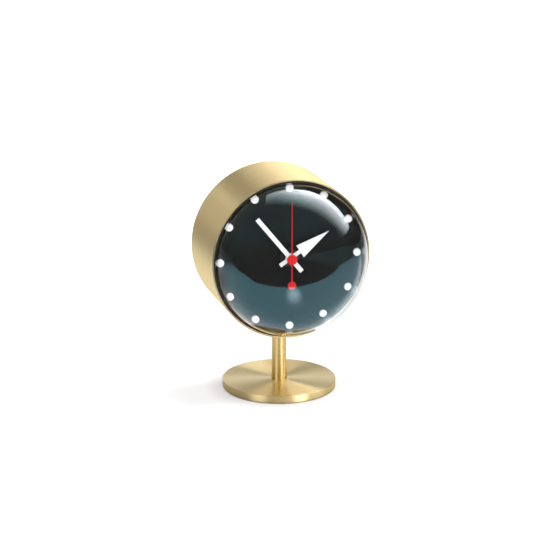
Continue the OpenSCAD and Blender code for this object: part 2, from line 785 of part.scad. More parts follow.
module coil() color("#B5652B") on_axis()
    translate([core_mid[0], core_mid[1], mov_front - coil_depth]) rotate([0, 90, 0])
    difference() {
        union() {
            cylinder(r = bobbin_r, h = stator_size - 2 * bobbin_gap, center = true);
            for (s = [-1, 1]) translate([0, 0, s * (stator_size / 2 - bobbin_gap - bobbin_flange_t / 2)])
                cylinder(r = bobbin_flange_r, h = bobbin_flange_t, center = true);
        }
        cube([stator_t + 2 * seat_gap, core_h + 2 * seat_gap, 2 * stator_size], center = true);
    }

module circuit_board() color("#2F6B3C") on_axis()
    layer(plate_depth + plate_t, plate_depth + plate_t + board_t) translate(board_corner) square(board_size);

module quartz_crystal() color(STEEL) on_axis()
    translate([crystal_at[0], crystal_at[1], mov_front - plate_depth - plate_t - board_t - crystal_r])
    rotate([0, 90, 0]) cylinder(r = crystal_r, h = crystal_len);

module control_chip() color(BLACK) on_axis()
    layer(plate_depth + plate_t + board_t, plate_depth + plate_t + board_t + chip_t) disc(chip_r, chip_at);

// Setting rod and knob
module setting_rod() color(STEEL) on_axis() slab(mov_front - mov_t - rod_front_gap, cover_back - knob_t + knob_skin)
    difference() {
        disc(rod_r, setting_at);
        disc(setting_arbor_r + press_gap, setting_at);
    }

module setting_knob() color(BLACK) on_axis() translate([setting_at[0], setting_at[1], cover_back - knob_lift])
    difference() {
        rotate([180, 0, 0]) rotate_extrude() polygon([
            [0, 0],
            [knob_r, 0],
            [knob_r, knob_t - knob_bevel],
            [knob_r - knob_bevel, knob_t],
            [0, knob_t]]);
        translate([0, 0, knob_lift - knob_t + knob_skin]) cylinder(r = rod_r + press_gap, h = knob_t);
        for (i = [0 : flute_count - 1]) translate(polar(knob_r + flute_r / 2, i * 360 / flute_count))
            translate([0, 0, -knob_t - over]) cylinder(r = flute_r, h = knob_t + 2 * over);
    }

// Hands
module hour_hand() color(WHITE) on_axis() slab(dial_front + hour_level + hand_t, dial_front + hour_level)
    at_clock(hour_angle) difference() {
        union() {
            disc(hand_hub_r);
            translate([-hour_w / 2, -hour_tail]) square([hour_w, hour_tail + hour_head + hour_w]);
            polygon([[-hour_head_w / 2, hour_head], [hour_head_w / 2, hour_head], [0, hour_tip]]);
        }
        disc(hour_pipe_r + press_gap);
    }

module minute_hand() color(WHITE) on_axis() slab(dial_front + minute_level + hand_t, dial_front + minute_level)
    at_clock(minute_angle) difference() {
        union() {
            disc(minute_hub_r);
            translate([-minute_w / 2, -minute_tail]) square([minute_w, minute_tail + minute_tip]);
        }
        disc(cannon_r + press_gap);
    }

module second_hand() color(RED) on_axis() slab(dial_front + second_level + second_t, dial_front + second_level)
    difference() {
        union() {
            disc(second_hub_r);
            disc(second_disc_d / 2, [0, -second_disc_reach]);
            polygon([
                [-second_w / 2, -second_disc_reach],
                [second_w / 2, -second_disc_reach],
                [second_w * needle_tip_share / 2, second_tip],
                [-second_w * needle_tip_share / 2, second_tip]]);
        }
        disc(second_arbor_r + press_gap);
    }

module second_hand_boss() color(RED) on_axis() translate([0, 0, dial_front + second_level + second_t])
    difference() {
        rotate_extrude() polygon([
            [0, 0],
            [boss_d / 2, 0],
            [boss_d / 2, boss_t - boss_bevel],
            [boss_d / 2 - boss_bevel, boss_t],
            [0, boss_t]]);
        translate([0, 0, -over])
            cylinder(r = second_arbor_r + press_gap, h = over + second_arbor_above - second_level - second_t + seat_gap);
    }

base_disc();
base_pad();
base_screw();
stem();
saddle_washer();
stem_screw();
case_drum();
lens_seat_ring();
lens();
dial();
hour_dots();
inner_frame();
rear_cover();
cover_screws();
battery_door();
battery();
spring_contact();
plate_contact();
battery_leads();
movement_front_shell();
movement_rear_shell();
train_plate();
movement_gasket();
dial_washer();
dial_nut();
second_arbor();
second_wheel();
third_wheel();
centre_wheel();
clutch_washer();
cannon_pinion();
motion_wheel();
hour_wheel();
intermediate_wheel();
rotor();
stator();
coil();
circuit_board();
quartz_crystal();
control_chip();
setting_rod();
setting_knob();
hour_hand();
minute_hand();
second_hand();
second_hand_boss();
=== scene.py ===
"""Looks of a table clock: a brass drum on a post, with a domed lens, raised hour dots and three hands."""
import json
import logging
import math
from collections.abc import Callable, Iterator, Sequence
from contextlib import contextmanager
from dataclasses import dataclass, field
from enum import Enum
from functools import reduce

import bpy
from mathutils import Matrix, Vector


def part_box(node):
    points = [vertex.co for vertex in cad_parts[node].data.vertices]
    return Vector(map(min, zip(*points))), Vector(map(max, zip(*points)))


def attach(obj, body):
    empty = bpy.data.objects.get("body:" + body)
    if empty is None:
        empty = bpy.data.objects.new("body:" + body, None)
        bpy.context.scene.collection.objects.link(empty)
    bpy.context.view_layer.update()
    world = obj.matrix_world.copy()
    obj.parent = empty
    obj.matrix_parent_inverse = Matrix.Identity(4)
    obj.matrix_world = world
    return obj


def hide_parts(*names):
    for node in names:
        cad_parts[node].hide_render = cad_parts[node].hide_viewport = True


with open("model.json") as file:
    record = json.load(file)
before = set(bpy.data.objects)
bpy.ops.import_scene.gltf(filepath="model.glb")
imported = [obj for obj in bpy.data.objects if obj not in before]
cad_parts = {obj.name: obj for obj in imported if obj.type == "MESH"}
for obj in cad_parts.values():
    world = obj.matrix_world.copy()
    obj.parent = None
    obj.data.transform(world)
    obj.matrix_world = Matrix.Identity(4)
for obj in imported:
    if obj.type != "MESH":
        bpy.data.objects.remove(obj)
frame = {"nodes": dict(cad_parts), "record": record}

LOG = logging.getLogger("table_clock")
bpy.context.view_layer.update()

# Lengths are in metres.
MM = 0.001
FULL_TURN = 2 * math.pi
WELD = 0.5e-6
SMOOTH_ANGLE = math.radians(38)
BEVEL_ANGLE = math.radians(33)
FLAT_ANGLE = math.radians(0.5)

# Faces round a piece, by how large it shows, and round a small edge.
FINE_STEPS = 192
COARSE_STEPS = 96
SMALL_STEPS = 48
EDGE_STEPS = 6

Colour = tuple[float, float, float]
Point2 = tuple[float, float]
Socket = bpy.types.NodeSocket
Fed = Socket | float | Sequence[float]

BLACK: Colour = (0.0, 0.0, 0.0)
WHITE: Colour = (1.0, 1.0, 1.0)


class Axis(Enum):
    """Line that a round piece is turned about: the post's, or the drum's."""

    POST = "Z"
    DRUM = "Y"


class Cut(Enum):
    """What a cutting solid leaves of a piece: what lies outside it, or inside it."""

    OUTSIDE = "DIFFERENCE"
    INSIDE = "INTERSECT"


@dataclass(frozen=True)
class Extent:
    """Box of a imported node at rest, with what a round piece needs of it."""

    low: Vector
    high: Vector

    @classmethod
    def of(cls, node: str) -> "Extent":
        """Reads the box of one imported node."""
        low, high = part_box(node)
        return cls(low, high)

    @property
    def centre(self) -> Vector:
        """Middle of the box."""
        return (self.low + self.high) / 2

    @property
    def radius(self) -> float:
        """Reach on both sides of the middle, the smaller one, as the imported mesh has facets."""
        return min(self.high.x, -self.low.x)


def arc(centre: Point2, radius: float, start: float, end: float, steps: int) -> list[Point2]:
    """Points of a round stretch of an outline.

    Args:
        centre: Centre of the arc.
        radius: Radius of the arc.
        start: First direction, in degrees from the first axis towards the second.
        end: Last direction, in degrees.
        steps: Number of stretches between the points.

    Returns:
        The points, both ends included.
    """
    turns = [math.radians(start + (end - start) * i / steps) for i in range(steps + 1)]
    return [(centre[0] + radius * math.cos(t), centre[1] + radius * math.sin(t)) for t in turns]


def domed_face(radius: float, face: float, rise: float, edge: float, shares: Sequence[float]) -> list[Point2]:
    """Outline of a round front from its side to its middle, with a soft edge and a low dome.

    Args:
        radius: Radius of the piece.
        face: Place of the dome's top along the axis.
        rise: Height of the dome.
        edge: Radius of the soft edge.
        shares: Shares of the dome's radius where it has points, from the edge inwards.

    Returns:
        Points of radius and place along the axis.
    """
    reach = radius - edge
    rounded = [(r, face + rise + edge - a) for r, a in arc((reach, 0.0), edge, 0, 90, EDGE_STEPS)]
    dome = [(reach * share, face + rise * share**2) for share in shares]
    return [*rounded, *dome, (0.0, face)]


@contextmanager
def editing(piece: bpy.types.Object) -> Iterator[None]:
    """Edit mode on one piece, with all of it selected at the start.

    Args:
        piece: The piece to edit.

    Yields:
        Nothing; the mode lasts as long as the block.
    """
    bpy.ops.object.select_all(action="DESELECT")
    piece.select_set(True)
    bpy.context.view_layer.objects.active = piece
    bpy.ops.object.mode_set(mode="EDIT")
    bpy.ops.mesh.select_all(action="SELECT")
    yield
    bpy.ops.object.mode_set(mode="OBJECT")


def settle(piece: bpy.types.Object) -> None:
    """Moves a piece's place into its mesh, so that its object sits at the origin.

    Args:
        piece: The piece, in object mode.
    """
    bpy.ops.object.select_all(action="DESELECT")
    piece.select_set(True)
    bpy.context.view_layer.objects.active = piece
    bpy.ops.object.transform_apply(location=True, rotation=True, scale=True)


def finish_mesh(piece: bpy.types.Object, bevel: float = 0.0, segments: int = 3) -> bpy.types.Object:
    """Rounds the sharp edges, shades the faces and evens out the normals.

    Args:
        piece: The piece, in object mode.
        bevel: Width of the rounding, or 0 for none.
        segments: Faces across the rounding.

    Returns:
        The same piece.
    """
    settle(piece)
    if bevel:
        edge = piece.modifiers.new("edge", "BEVEL")
        edge.width = bevel
        edge.segments = segments
        edge.limit_method = "ANGLE"
        edge.angle_limit = BEVEL_ANGLE
        edge.use_clamp_overlap = True
        bpy.ops.object.modifier_apply(modifier=edge.name)
    bpy.ops.object.shade_smooth_by_angle(angle=SMOOTH_ANGLE)
    even = piece.modifiers.new("even", "WEIGHTED_NORMAL")
    even.keep_sharp = True
    bpy.ops.object.modifier_apply(modifier=even.name)
    return piece


def seed_point(name: str, place: Vector) -> bpy.types.Object:
    """Adds a small plane and merges it to one point, the start of a drawn outline.

    Args:
        name: Name of the piece.
        place: Where the point lies.

    Returns:
        The new object, in object mode.
    """
    bpy.ops.object.select_all(action="DESELECT")
    bpy.ops.mesh.primitive_plane_add(size=MM, location=place)
    piece = bpy.context.active_object
    piece.name = name
    piece.data.name = name
    with editing(piece):
        bpy.ops.mesh.merge(type="CENTER")
    return piece


def draw(places: Sequence[Vector]) -> None:
    """Extrudes the selected point along a run of places, in edit mode.

    Args:
        places: The places, the first of which is where the point is now.
    """
    for here, there in zip(places, places[1:]):
        bpy.ops.mesh.extrude_vertices_move(TRANSFORM_OT_translate={"value": there - here})


def turned(
    name: str,
    axis: Axis,
    centre: Vector,
    outline: Sequence[Point2],
    ring: bool = True,
    steps: int = FINE_STEPS,
) -> bpy.types.Object:
    """Turns an outline about an axis, as on a lathe.

    Args:
        name: Name of the piece.
        axis: The axis that it is turned about.
        centre: A point on that axis.
        outline: Points of radius and place along the axis.
        ring: True if the outline closes on itself, and false if both ends lie on the axis.
        steps: Faces round the piece.

    Returns:
        The turned piece.
    """
    along_post = axis is Axis.POST
    line = Vector((0, 0, 1)) if along_post else Vector((0, 1, 0))
    base = Vector((centre.x, centre.y, 0)) if along_post else Vector((centre.x, 0, centre.z))
    places = [base + Vector((radius, 0, 0)) + line * along for radius, along in outline]
    if ring:
        places.append(places[0])
    piece = seed_point(name, places[0])
    with editing(piece):
        draw(places)
        bpy.ops.mesh.select_all(action="SELECT")
        bpy.ops.mesh.spin(steps=steps, angle=FULL_TURN, center=base, axis=line)
        bpy.ops.mesh.select_all(action="SELECT")
        bpy.ops.mesh.remove_doubles(threshold=WELD)
        bpy.ops.mesh.normals_make_consistent(inside=False)
    settle(piece)
    return piece


def plate(
    name: str,
    outline: Sequence[Point2],
    angle: float,
    centre: Vector,
    back: float,
    front: float,
) -> bpy.types.Object:
    """Cuts a flat plate from an outline drawn as if it pointed at twelve.

    Args:
        name: Name of the piece.
        outline: Points to the right and up from the centre, anticlockwise.
        angle: Clock angle that the plate points at, in degrees.
        centre: Centre that the plate turns about.
        back: Place of its back face along Y.
        front: Place of its front face along Y.

    Returns:
        The plate.
    """
    turn = math.radians(angle)
    right = Vector((math.cos(turn), 0, -math.sin(turn)))
    up = Vector((math.sin(turn), 0, math.cos(turn)))
    start = Vector((centre.x, back, centre.z))
    places = [start + right * x + up * y for x, y in outline]
    places.append(places[0])
    piece = seed_point(name, places[0])
    with editing(piece):
        draw(places)
        bpy.ops.mesh.select_all(action="SELECT")
        bpy.ops.mesh.remove_doubles(threshold=WELD)
        bpy.ops.mesh.edge_face_add()
        bpy.ops.mesh.extrude_region_move(TRANSFORM_OT_translate={"value": Vector((0, front - back, 0))})
        bpy.ops.mesh.select_all(action="SELECT")
        bpy.ops.mesh.normals_make_consistent(inside=False)
    settle(piece)
    return piece


def carve(piece: bpy.types.Object, tool: bpy.types.Object, kept: Cut = Cut.OUTSIDE) -> bpy.types.Object:
    """Cuts one solid with another, which is then removed.

    Args:
        piece: The solid that is cut.
        tool: The solid that cuts it.
        kept: What stays of the piece.

    Returns:
        The piece that is cut.
    """
    cut = piece.modifiers.new("cut", "BOOLEAN")
    cut.operation = kept.value
    cut.solver = "EXACT"
    cut.object = tool
    bpy.context.view_layer.objects.active = piece
    bpy.ops.object.modifier_apply(modifier=cut.name)
    bpy.data.objects.remove(tool, do_unlink=True)
    return piece


def eased_copy(node: str, name: str, bevel: float) -> bpy.types.Object:
    """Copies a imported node's mesh, joins its loose triangles and rounds its edges.

    Args:
        node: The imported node.
        name: Name of the new piece.
        bevel: Width of the rounding.

    Returns:
        The new piece.
    """
    source = frame["nodes"][node]
    piece = bpy.data.objects.new(name, source.data.copy())
    piece.data.materials.clear()
    bpy.context.scene.collection.objects.link(piece)
    with editing(piece):
        bpy.ops.mesh.customdata_custom_splitnormals_clear()
        bpy.ops.mesh.remove_doubles(threshold=WELD)
        bpy.ops.mesh.dissolve_limited(angle_limit=FLAT_ANGLE)
    return finish_mesh(piece, bevel, segments=2)


def carried(
    piece: bpy.types.Object,
    body: str,
    nodes: Sequence[str],
    finish: bpy.types.Material,
) -> None:
    """Fastens a finished piece to its body and dresses it.

    Args:
        piece: The finished piece.
        body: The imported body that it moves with.
        nodes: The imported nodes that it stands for.
        finish: The material.
    """
    piece.data.materials.clear()
    piece.data.materials.append(finish)
    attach(piece, body)
    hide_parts(*nodes)
    LOG.info("%s rides on %s and stands for %s", piece.name, body, ", ".join(nodes))


def scaled(colour: Colour, gain: float, lift: float = 0.0) -> Colour:
    """A colour made lighter or darker."""
    return tuple(min(1.0, part * gain + lift) for part in colour)


@dataclass(frozen=True)
class Ease:
    """A soft step: what a value becomes as it crosses a range, and stays on both sides of it."""

    low: float
    high: float
    start: float = 0.0
    end: float = 1.0


class Graph:
    """Adds and joins the nodes of one node tree."""

    # Places of the colour sockets on a Mix node, whose kinds of socket share their names.
    MIX_FIRST = 6
    MIX_SECOND = 7
    MIX_RESULT = 2

    def __init__(self, tree: bpy.types.NodeTree) -> None:
        """Starts on a tree, which is emptied.

        Args:
            tree: The node tree.
        """
        self.tree = tree
        tree.nodes.clear()

    def feed(self, socket: Socket, value: Fed) -> None:
        """Links a socket to another, or sets its value.

        Args:
            socket: The socket that is fed.
            value: Another socket, a number, a vector or a colour.
        """
        if isinstance(value, Socket):
            self.tree.links.new(value, socket)
        elif isinstance(value, (int, float)) or len(value) == len(socket.default_value):
            socket.default_value = value
        else:
            socket.default_value = (*value, 1.0)

    def add(
        self,
        kind: str,
        inputs: dict[str | int, Fed] | None = None,
        **settings: object,
    ) -> bpy.types.Node:
        """Adds one node.

        Args:
            kind: Its type.
            inputs: What its sockets are fed with, by name or number.
            settings: Its properties.

        Returns:
            The node.
        """
        node = self.tree.nodes.new(kind)
        for key, value in settings.items():
            setattr(node, key, value)
        for key, value in (inputs or {}).items():
            self.feed(node.inputs[key], value)
        return node

    def math(
        self,
        operation: str,
        first: Fed,
        second: Fed = 0.0,
        third: Fed = 0.0,
        clamp: bool = False,
    ) -> Socket:
        """Result of a Math node."""
        inputs = {0: first, 1: second, 2: third}
        return self.add("ShaderNodeMath", inputs, operation=operation, use_clamp=clamp).outputs[0]

    def times(self, *factors: Fed) -> Socket:
        """Product of two or more values."""
        return reduce(lambda product, factor: self.math("MULTIPLY", product, factor), factors)

    def total(self, *values: Fed) -> Socket:
        """Sum of two or more values."""
        return reduce(lambda total, value: self.math("ADD", total, value), values)

    def rest(self, share: Fed) -> Socket:
        """What a share leaves of 1."""
        return self.math("SUBTRACT", 1.0, share)

    def ease(self, value: Fed, step: Ease) -> Socket:
        """Carries a value over a soft step.

        Args:
            value: The value.
            step: The step.

        Returns:
            What the value becomes.
        """
        ends = {"From Min": step.low, "From Max": step.high, "To Min": step.start, "To Max": step.end}
        node = self.add("ShaderNodeMapRange", {"Value": value, **ends}, interpolation_type="SMOOTHSTEP")
        return node.outputs["Result"]

    def blend(self, share: Fed, first: Fed, second: Fed) -> Socket:
        """Goes from one colour towards another.

        Args:
            share: How far it goes, where 1 is all the way and more goes past it.
            first: The first colour.
            second: The second colour.

        Returns:
            The colour between them.
        """
        node = self.add("ShaderNodeMix", data_type="RGBA", clamp_factor=False)
        self.feed(node.inputs["Factor"], share)
        self.feed(node.inputs[self.MIX_FIRST], first)
        self.feed(node.inputs[self.MIX_SECOND], second)
        return node.outputs[self.MIX_RESULT]

    def grey(self, level: Fed) -> Socket:
        """A grey of this brightness."""
        return self.blend(level, BLACK, WHITE)

    def parts(self, vector: Fed) -> tuple[Socket, Socket, Socket]:
        """The three parts of a vector."""
        node = self.add("ShaderNodeSeparateXYZ", {0: vector})
        return node.outputs[0], node.outputs[1], node.outputs[2]

    def join(self, x: Fed, y: Fed, z: Fed) -> Socket:
        """A vector from three values."""
        return self.add("ShaderNodeCombineXYZ", {0: x, 1: y, 2: z}).outputs[0]

    def length(self, x: Fed, y: Fed) -> Socket:
        """Length of a flat vector."""
        flat = self.join(x, y, 0.0)
        return self.add("ShaderNodeVectorMath", {0: flat}, operation="LENGTH").outputs["Value"]

    def bearing(self, x: Fed, y: Fed) -> Socket:
        """Direction of a flat vector, in degrees."""
        return self.math("DEGREES", self.math("ARCTAN2", y, x))

    def noise(self, vector: Fed, scale: Fed = 1.0, detail: float = 2.0, roughness: float = 0.5) -> Socket:
        """A noise from 0 to 1."""
        inputs = {"Vector": vector, "Scale": scale, "Detail": detail, "Roughness": roughness}
        return self.add("ShaderNodeTexNoise", inputs).outputs["Fac"]

    def ramp(self, value: Fed, stops: Sequence[tuple[float, float | Colour]]) -> Socket:
        """Looks a value up on a run of colours.

        Args:
            value: The value, from 0 to 1.
            stops: Place and colour of each stop, or place and brightness.

        Returns:
            The colour found.
        """
        node = self.add("ShaderNodeValToRGB", {0: value})
        band = node.color_ramp
        while len(band.elements) < len(stops):
            band.elements.new(0.5)
        for element, (place, colour) in zip(band.elements, stops):
            element.position = place
            element.color = (colour, colour, colour, 1.0) if isinstance(colour, float) else (*colour, 1.0)
        return node.outputs["Color"]

    def group(self, tree: bpy.types.NodeTree, inputs: dict[str, Fed]) -> bpy.types.NodeOutputs:
        """Places a shared group and feeds it.

        Args:
            tree: The group's node tree.
            inputs: What its sockets are fed with.

        Returns:
            What it puts out.
        """
        node = self.tree.nodes.new("ShaderNodeGroup")
        node.node_tree = tree
        for key, value in inputs.items():
            self.feed(node.inputs[key], value)
        return node.outputs


VECTOR = "NodeSocketVector"
NUMBER = "NodeSocketFloat"
NOISE_MIDDLE = 0.5


def shared(
    name: str,
    inputs: Sequence[tuple[str, str, float | None]],
    outputs: Sequence[tuple[str, str]],
    fill: Callable[[Graph, bpy.types.NodeOutputs], tuple[Fed, ...]],
) -> bpy.types.NodeTree:
    """Makes a shader group once, and finds it again after that.

    Args:
        name: Name of the group.
        inputs: Name, socket type and first value of each input.
        outputs: Name and socket type of each output.
        fill: Called with the graph and what the group is given; it returns what each output carries.

    Returns:
        The group's node tree.
    """
    if name in bpy.data.node_groups:
        return bpy.data.node_groups[name]
    tree = bpy.data.node_groups.new(name, "ShaderNodeTree")
    for label, kind, value in inputs:
        socket = tree.interface.new_socket(name=label, in_out="INPUT", socket_type=kind)
        if kind == NUMBER:
            socket.default_value = value
    for label, kind in outputs:
        tree.interface.new_socket(name=label, in_out="OUTPUT", socket_type=kind)
    graph = Graph(tree)
    source = graph.add("NodeGroupInput")
    result = graph.add("NodeGroupOutput")
    for (label, _), value in zip(outputs, fill(graph, source.outputs)):
        graph.feed(result.inputs[label], value)
    return tree


def lathe_marks() -> bpy.types.NodeTree:
    """Fine grooves that a lathe leaves round the Z axis of the given vector.

    Returns:
        The group's node tree.
    """
    slow_share = 0.06

    def fill(graph: Graph, given: bpy.types.NodeOutputs) -> tuple[Fed, ...]:
        """Lays the grooves along radius plus height, so that ends and sides both carry them.

        Args:
            graph: The group's graph.
            given: What the group is given.

        Returns:
            The fine grooves and the slow bands.
        """
        x, y, z = graph.parts(given["Vector"])
        across = graph.math("DIVIDE", graph.total(graph.length(x, y), z), given["Spacing"])
        long_x, long_y = (graph.math("DIVIDE", part, given["Reach"]) for part in (x, y))
        fine = graph.noise(graph.join(across, long_x, long_y), detail=3.0, roughness=0.7)
        slow = graph.noise(graph.join(graph.times(across, slow_share), long_x, long_y))
        return fine, slow

    inputs = [("Vector", VECTOR, None), ("Spacing", NUMBER, 0.2 * MM), ("Reach", NUMBER, 20 * MM)]
    return shared("lathe_marks", inputs, [("Groove", NUMBER), ("Band", NUMBER)], fill)


def handling() -> bpy.types.NodeTree:
    """Faint smudges that handling leaves.

    Returns:
        The group's node tree.
    """
    patch, breaks, finer = Ease(0.48, 0.72), Ease(0.3, 0.75), 9.0

    def fill(graph: Graph, given: bpy.types.NodeOutputs) -> tuple[Fed, ...]:
        """Breaks large soft patches up with a finer noise.

        Args:
            graph: The group's graph.
            given: What the group is given.

        Returns:
            The mask of the smudges.
        """
        place, scale = given["Vector"], given["Scale"]
        patches = graph.ease(graph.noise(place, scale), patch)
        broken = graph.ease(graph.noise(place, graph.times(scale, finer), detail=3.0, roughness=0.6), breaks)
        return (graph.times(patches, broken, given["Amount"]),)

    inputs = [("Vector", VECTOR, None), ("Scale", NUMBER, 40.0), ("Amount", NUMBER, 1.0)]
    return shared("handling", inputs, [("Smudge", NUMBER)], fill)


def rubbed_edges() -> bpy.types.NodeTree:
    """Mask of the edges and corners that wear bright.

    Returns:
        The group's node tree.
    """
    sharp, breaks, break_scale = Ease(0.52, 0.62), Ease(0.25, 0.7), 300.0

    def fill(graph: Graph, given: bpy.types.NodeOutputs) -> tuple[Fed, ...]:
        """Takes the sharpest edges, broken up by a noise.

        Args:
            graph: The group's graph.
            given: What the group is given.

        Returns:
            The mask of the edges.
        """
        edge = graph.ease(graph.add("ShaderNodeNewGeometry").outputs["Pointiness"], sharp)
        broken = graph.ease(graph.noise(given["Vector"], break_scale), breaks)
        return (graph.times(edge, broken, given["Amount"]),)

    inputs = [("Vector", VECTOR, None), ("Amount", NUMBER, 0.5)]
    return shared("rubbed_edges", inputs, [("Edge", NUMBER)], fill)


def skin_grain() -> bpy.types.NodeTree:
    """Fine skin of paint or moulded plastic.

    Returns:
        The group's node tree.
    """
    pebble_share, coarser = 0.6, 0.7

    def fill(graph: Graph, given: bpy.types.NodeOutputs) -> tuple[Fed, ...]:
        """Adds a pebbled layer to a noise.

        Args:
            graph: The group's graph.
            given: What the group is given.

        Returns:
            The height of the skin and its speckle.
        """
        place, scale = given["Vector"], graph.math("DIVIDE", 1.0, given["Size"])
        pebbles = graph.add("ShaderNodeTexVoronoi", {"Vector": place, "Scale": scale}, feature="SMOOTH_F1")
        fine = graph.noise(place, graph.times(scale, coarser), detail=3.0, roughness=0.6)
        return graph.total(graph.times(pebbles.outputs["Distance"], pebble_share), fine), fine

    inputs = [("Vector", VECTOR, None), ("Size", NUMBER, 0.3 * MM)]
    return shared("skin_grain", inputs, [("Height", NUMBER), ("Speckle", NUMBER)], fill)


@dataclass(frozen=True)
class Finish:
    """A finish of the clock: how a surface is coloured and how it shines."""

    name: str
    colour: Colour
    roughness: float

    def build(self) -> bpy.types.Material:
        """Makes the material, or finds it if it is there already.

        Returns:
            The material.
        """
        made = bpy.data.materials.get(self.name)
        if made is None:
            made = bpy.data.materials.new(self.name)
            made.use_nodes = True
            self.fill(Graph(made.node_tree))
            made.diffuse_color = (*self.colour, 1.0)
        return made

    def fill(self, graph: Graph) -> None:
        """Lays out the material's nodes; each finish has its own."""
        raise NotImplementedError

    def dull_by(self, graph: Graph, noise: Fed, depth: float) -> Socket:
        """Roughness that goes up and down with a noise."""
        return graph.math("MULTIPLY_ADD", graph.math("SUBTRACT", noise, NOISE_MIDDLE), depth, self.roughness)

    @staticmethod
    def place(graph: Graph) -> Socket:
        """Object coordinates."""
        return graph.add("ShaderNodeTexCoord").outputs["Object"]

    @staticmethod
    def output(graph: Graph, shader: bpy.types.Node) -> None:
        """Joins the last shader to the output."""
        graph.add("ShaderNodeOutputMaterial", {"Surface": shader.outputs[0]})

    @staticmethod
    def bump(graph: Graph, height: Fed, strength: float, depth: float) -> Socket:
        """Normal of a surface with this height."""
        inputs = {"Height": height, "Strength": strength, "Distance": depth}
        return graph.add("ShaderNodeBump", inputs).outputs["Normal"]


@dataclass(frozen=True)
class TurnedMetal(Finish):
    """Metal turned and brushed on a lathe."""

    dull: Colour
    axis: Axis = Axis.POST
    centre: Point2 = (0.0, 0.0)
    anisotropy: float = 0.8
    across_marks: float = 0.25
    spacing: float = 0.16 * MM
    mark_length: float = 30 * MM
    groove_depth: float = 0.0025 * MM
    groove_strength: float = 0.5
    groove_gloss: float = 0.12
    bands: Ease = Ease(0.25, 0.75, 0.0, 0.35)
    smudge_scale: float = 28.0
    smudge_share: float = 0.25
    smudge_gloss: float = 0.06
    wear: float = 0.35
    worn_gain: float = 1.12
    worn_lift: float = 0.04

    def fill(self, graph: Graph) -> None:
        """Grooves in colour, gloss and relief, with smudges and bright edges.

        Args:
            graph: The material's graph.
        """
        place = self.place(graph)
        if self.axis is Axis.DRUM:
            place = graph.add("ShaderNodeMapping", {
                "Vector": place,
                "Location": (-self.centre[0], -self.centre[1], 0.0),
                "Rotation": (math.radians(-90), 0.0, 0.0),
            }).outputs[0]
        turning = {"Vector": place, "Spacing": self.spacing, "Reach": self.mark_length}
        marks = graph.group(lathe_marks(), turning)
        touch = graph.group(handling(), {"Vector": place, "Scale": self.smudge_scale, "Amount": 1.0})
        edges = graph.group(rubbed_edges(), {"Vector": place, "Amount": self.wear})
        colour = graph.blend(graph.ease(marks["Band"], self.bands), self.colour, self.dull)
        colour = graph.blend(graph.times(touch["Smudge"], self.smudge_share), colour, self.dull)
        colour = graph.blend(edges["Edge"], colour, scaled(self.colour, self.worn_gain, self.worn_lift))
        rough = self.dull_by(graph, marks["Groove"], self.groove_gloss)
        tangent = graph.add("ShaderNodeTangent", direction_type="RADIAL", axis=self.axis.value)
        self.output(graph, graph.add("ShaderNodeBsdfPrincipled", {
            "Base Color": colour,
            "Metallic": 1.0,
            "Roughness": graph.total(rough, graph.times(touch["Smudge"], self.smudge_gloss)),
            "Anisotropic": self.anisotropy,
            "Anisotropic Rotation": self.across_marks,
            "Tangent": tangent.outputs[0],
            "Normal": self.bump(graph, marks["Groove"], self.groove_strength, self.groove_depth),
        }))


@dataclass(frozen=True)
class Skin(Finish):
    """Paint, moulded plastic, rubber or plain steel."""

    grain: float = 0.3 * MM
    relief: float = 0.004 * MM
    strength: float = 0.35
    lift: float = 1.15
    coat: float = 0.0
    metallic: float = 0.0
    gloss: float = 0.5
    speckle: Ease = Ease(0.3, 0.7)
    speckle_gloss: float = 0.1
    smudge_scale: float = 45.0
    smudge_gloss: float = 0.05

    def fill(self, graph: Graph) -> None:
        """A fine skin in tone, relief and gloss, with faint smudges.

        Args:
            graph: The material's graph.
        """
        place = self.place(graph)
        skin = graph.group(skin_grain(), {"Vector": place, "Size": self.grain})
        touch = graph.group(handling(), {"Vector": place, "Scale": self.smudge_scale, "Amount": 1.0})
        tone = graph.ease(skin["Speckle"], self.speckle)
        rough = self.dull_by(graph, skin["Speckle"], self.speckle_gloss)
        wiped = graph.times(touch["Smudge"], self.smudge_gloss)
        self.output(graph, graph.add("ShaderNodeBsdfPrincipled", {
            "Base Color": graph.blend(tone, self.colour, scaled(self.colour, self.lift)),
            "Metallic": self.metallic,
            "Roughness": graph.math("SUBTRACT", rough, wiped, clamp=True),
            "Coat Weight": self.coat,
            "Specular IOR Level": self.gloss,
            "Normal": self.bump(graph, skin["Height"], self.strength, self.relief),
        }))


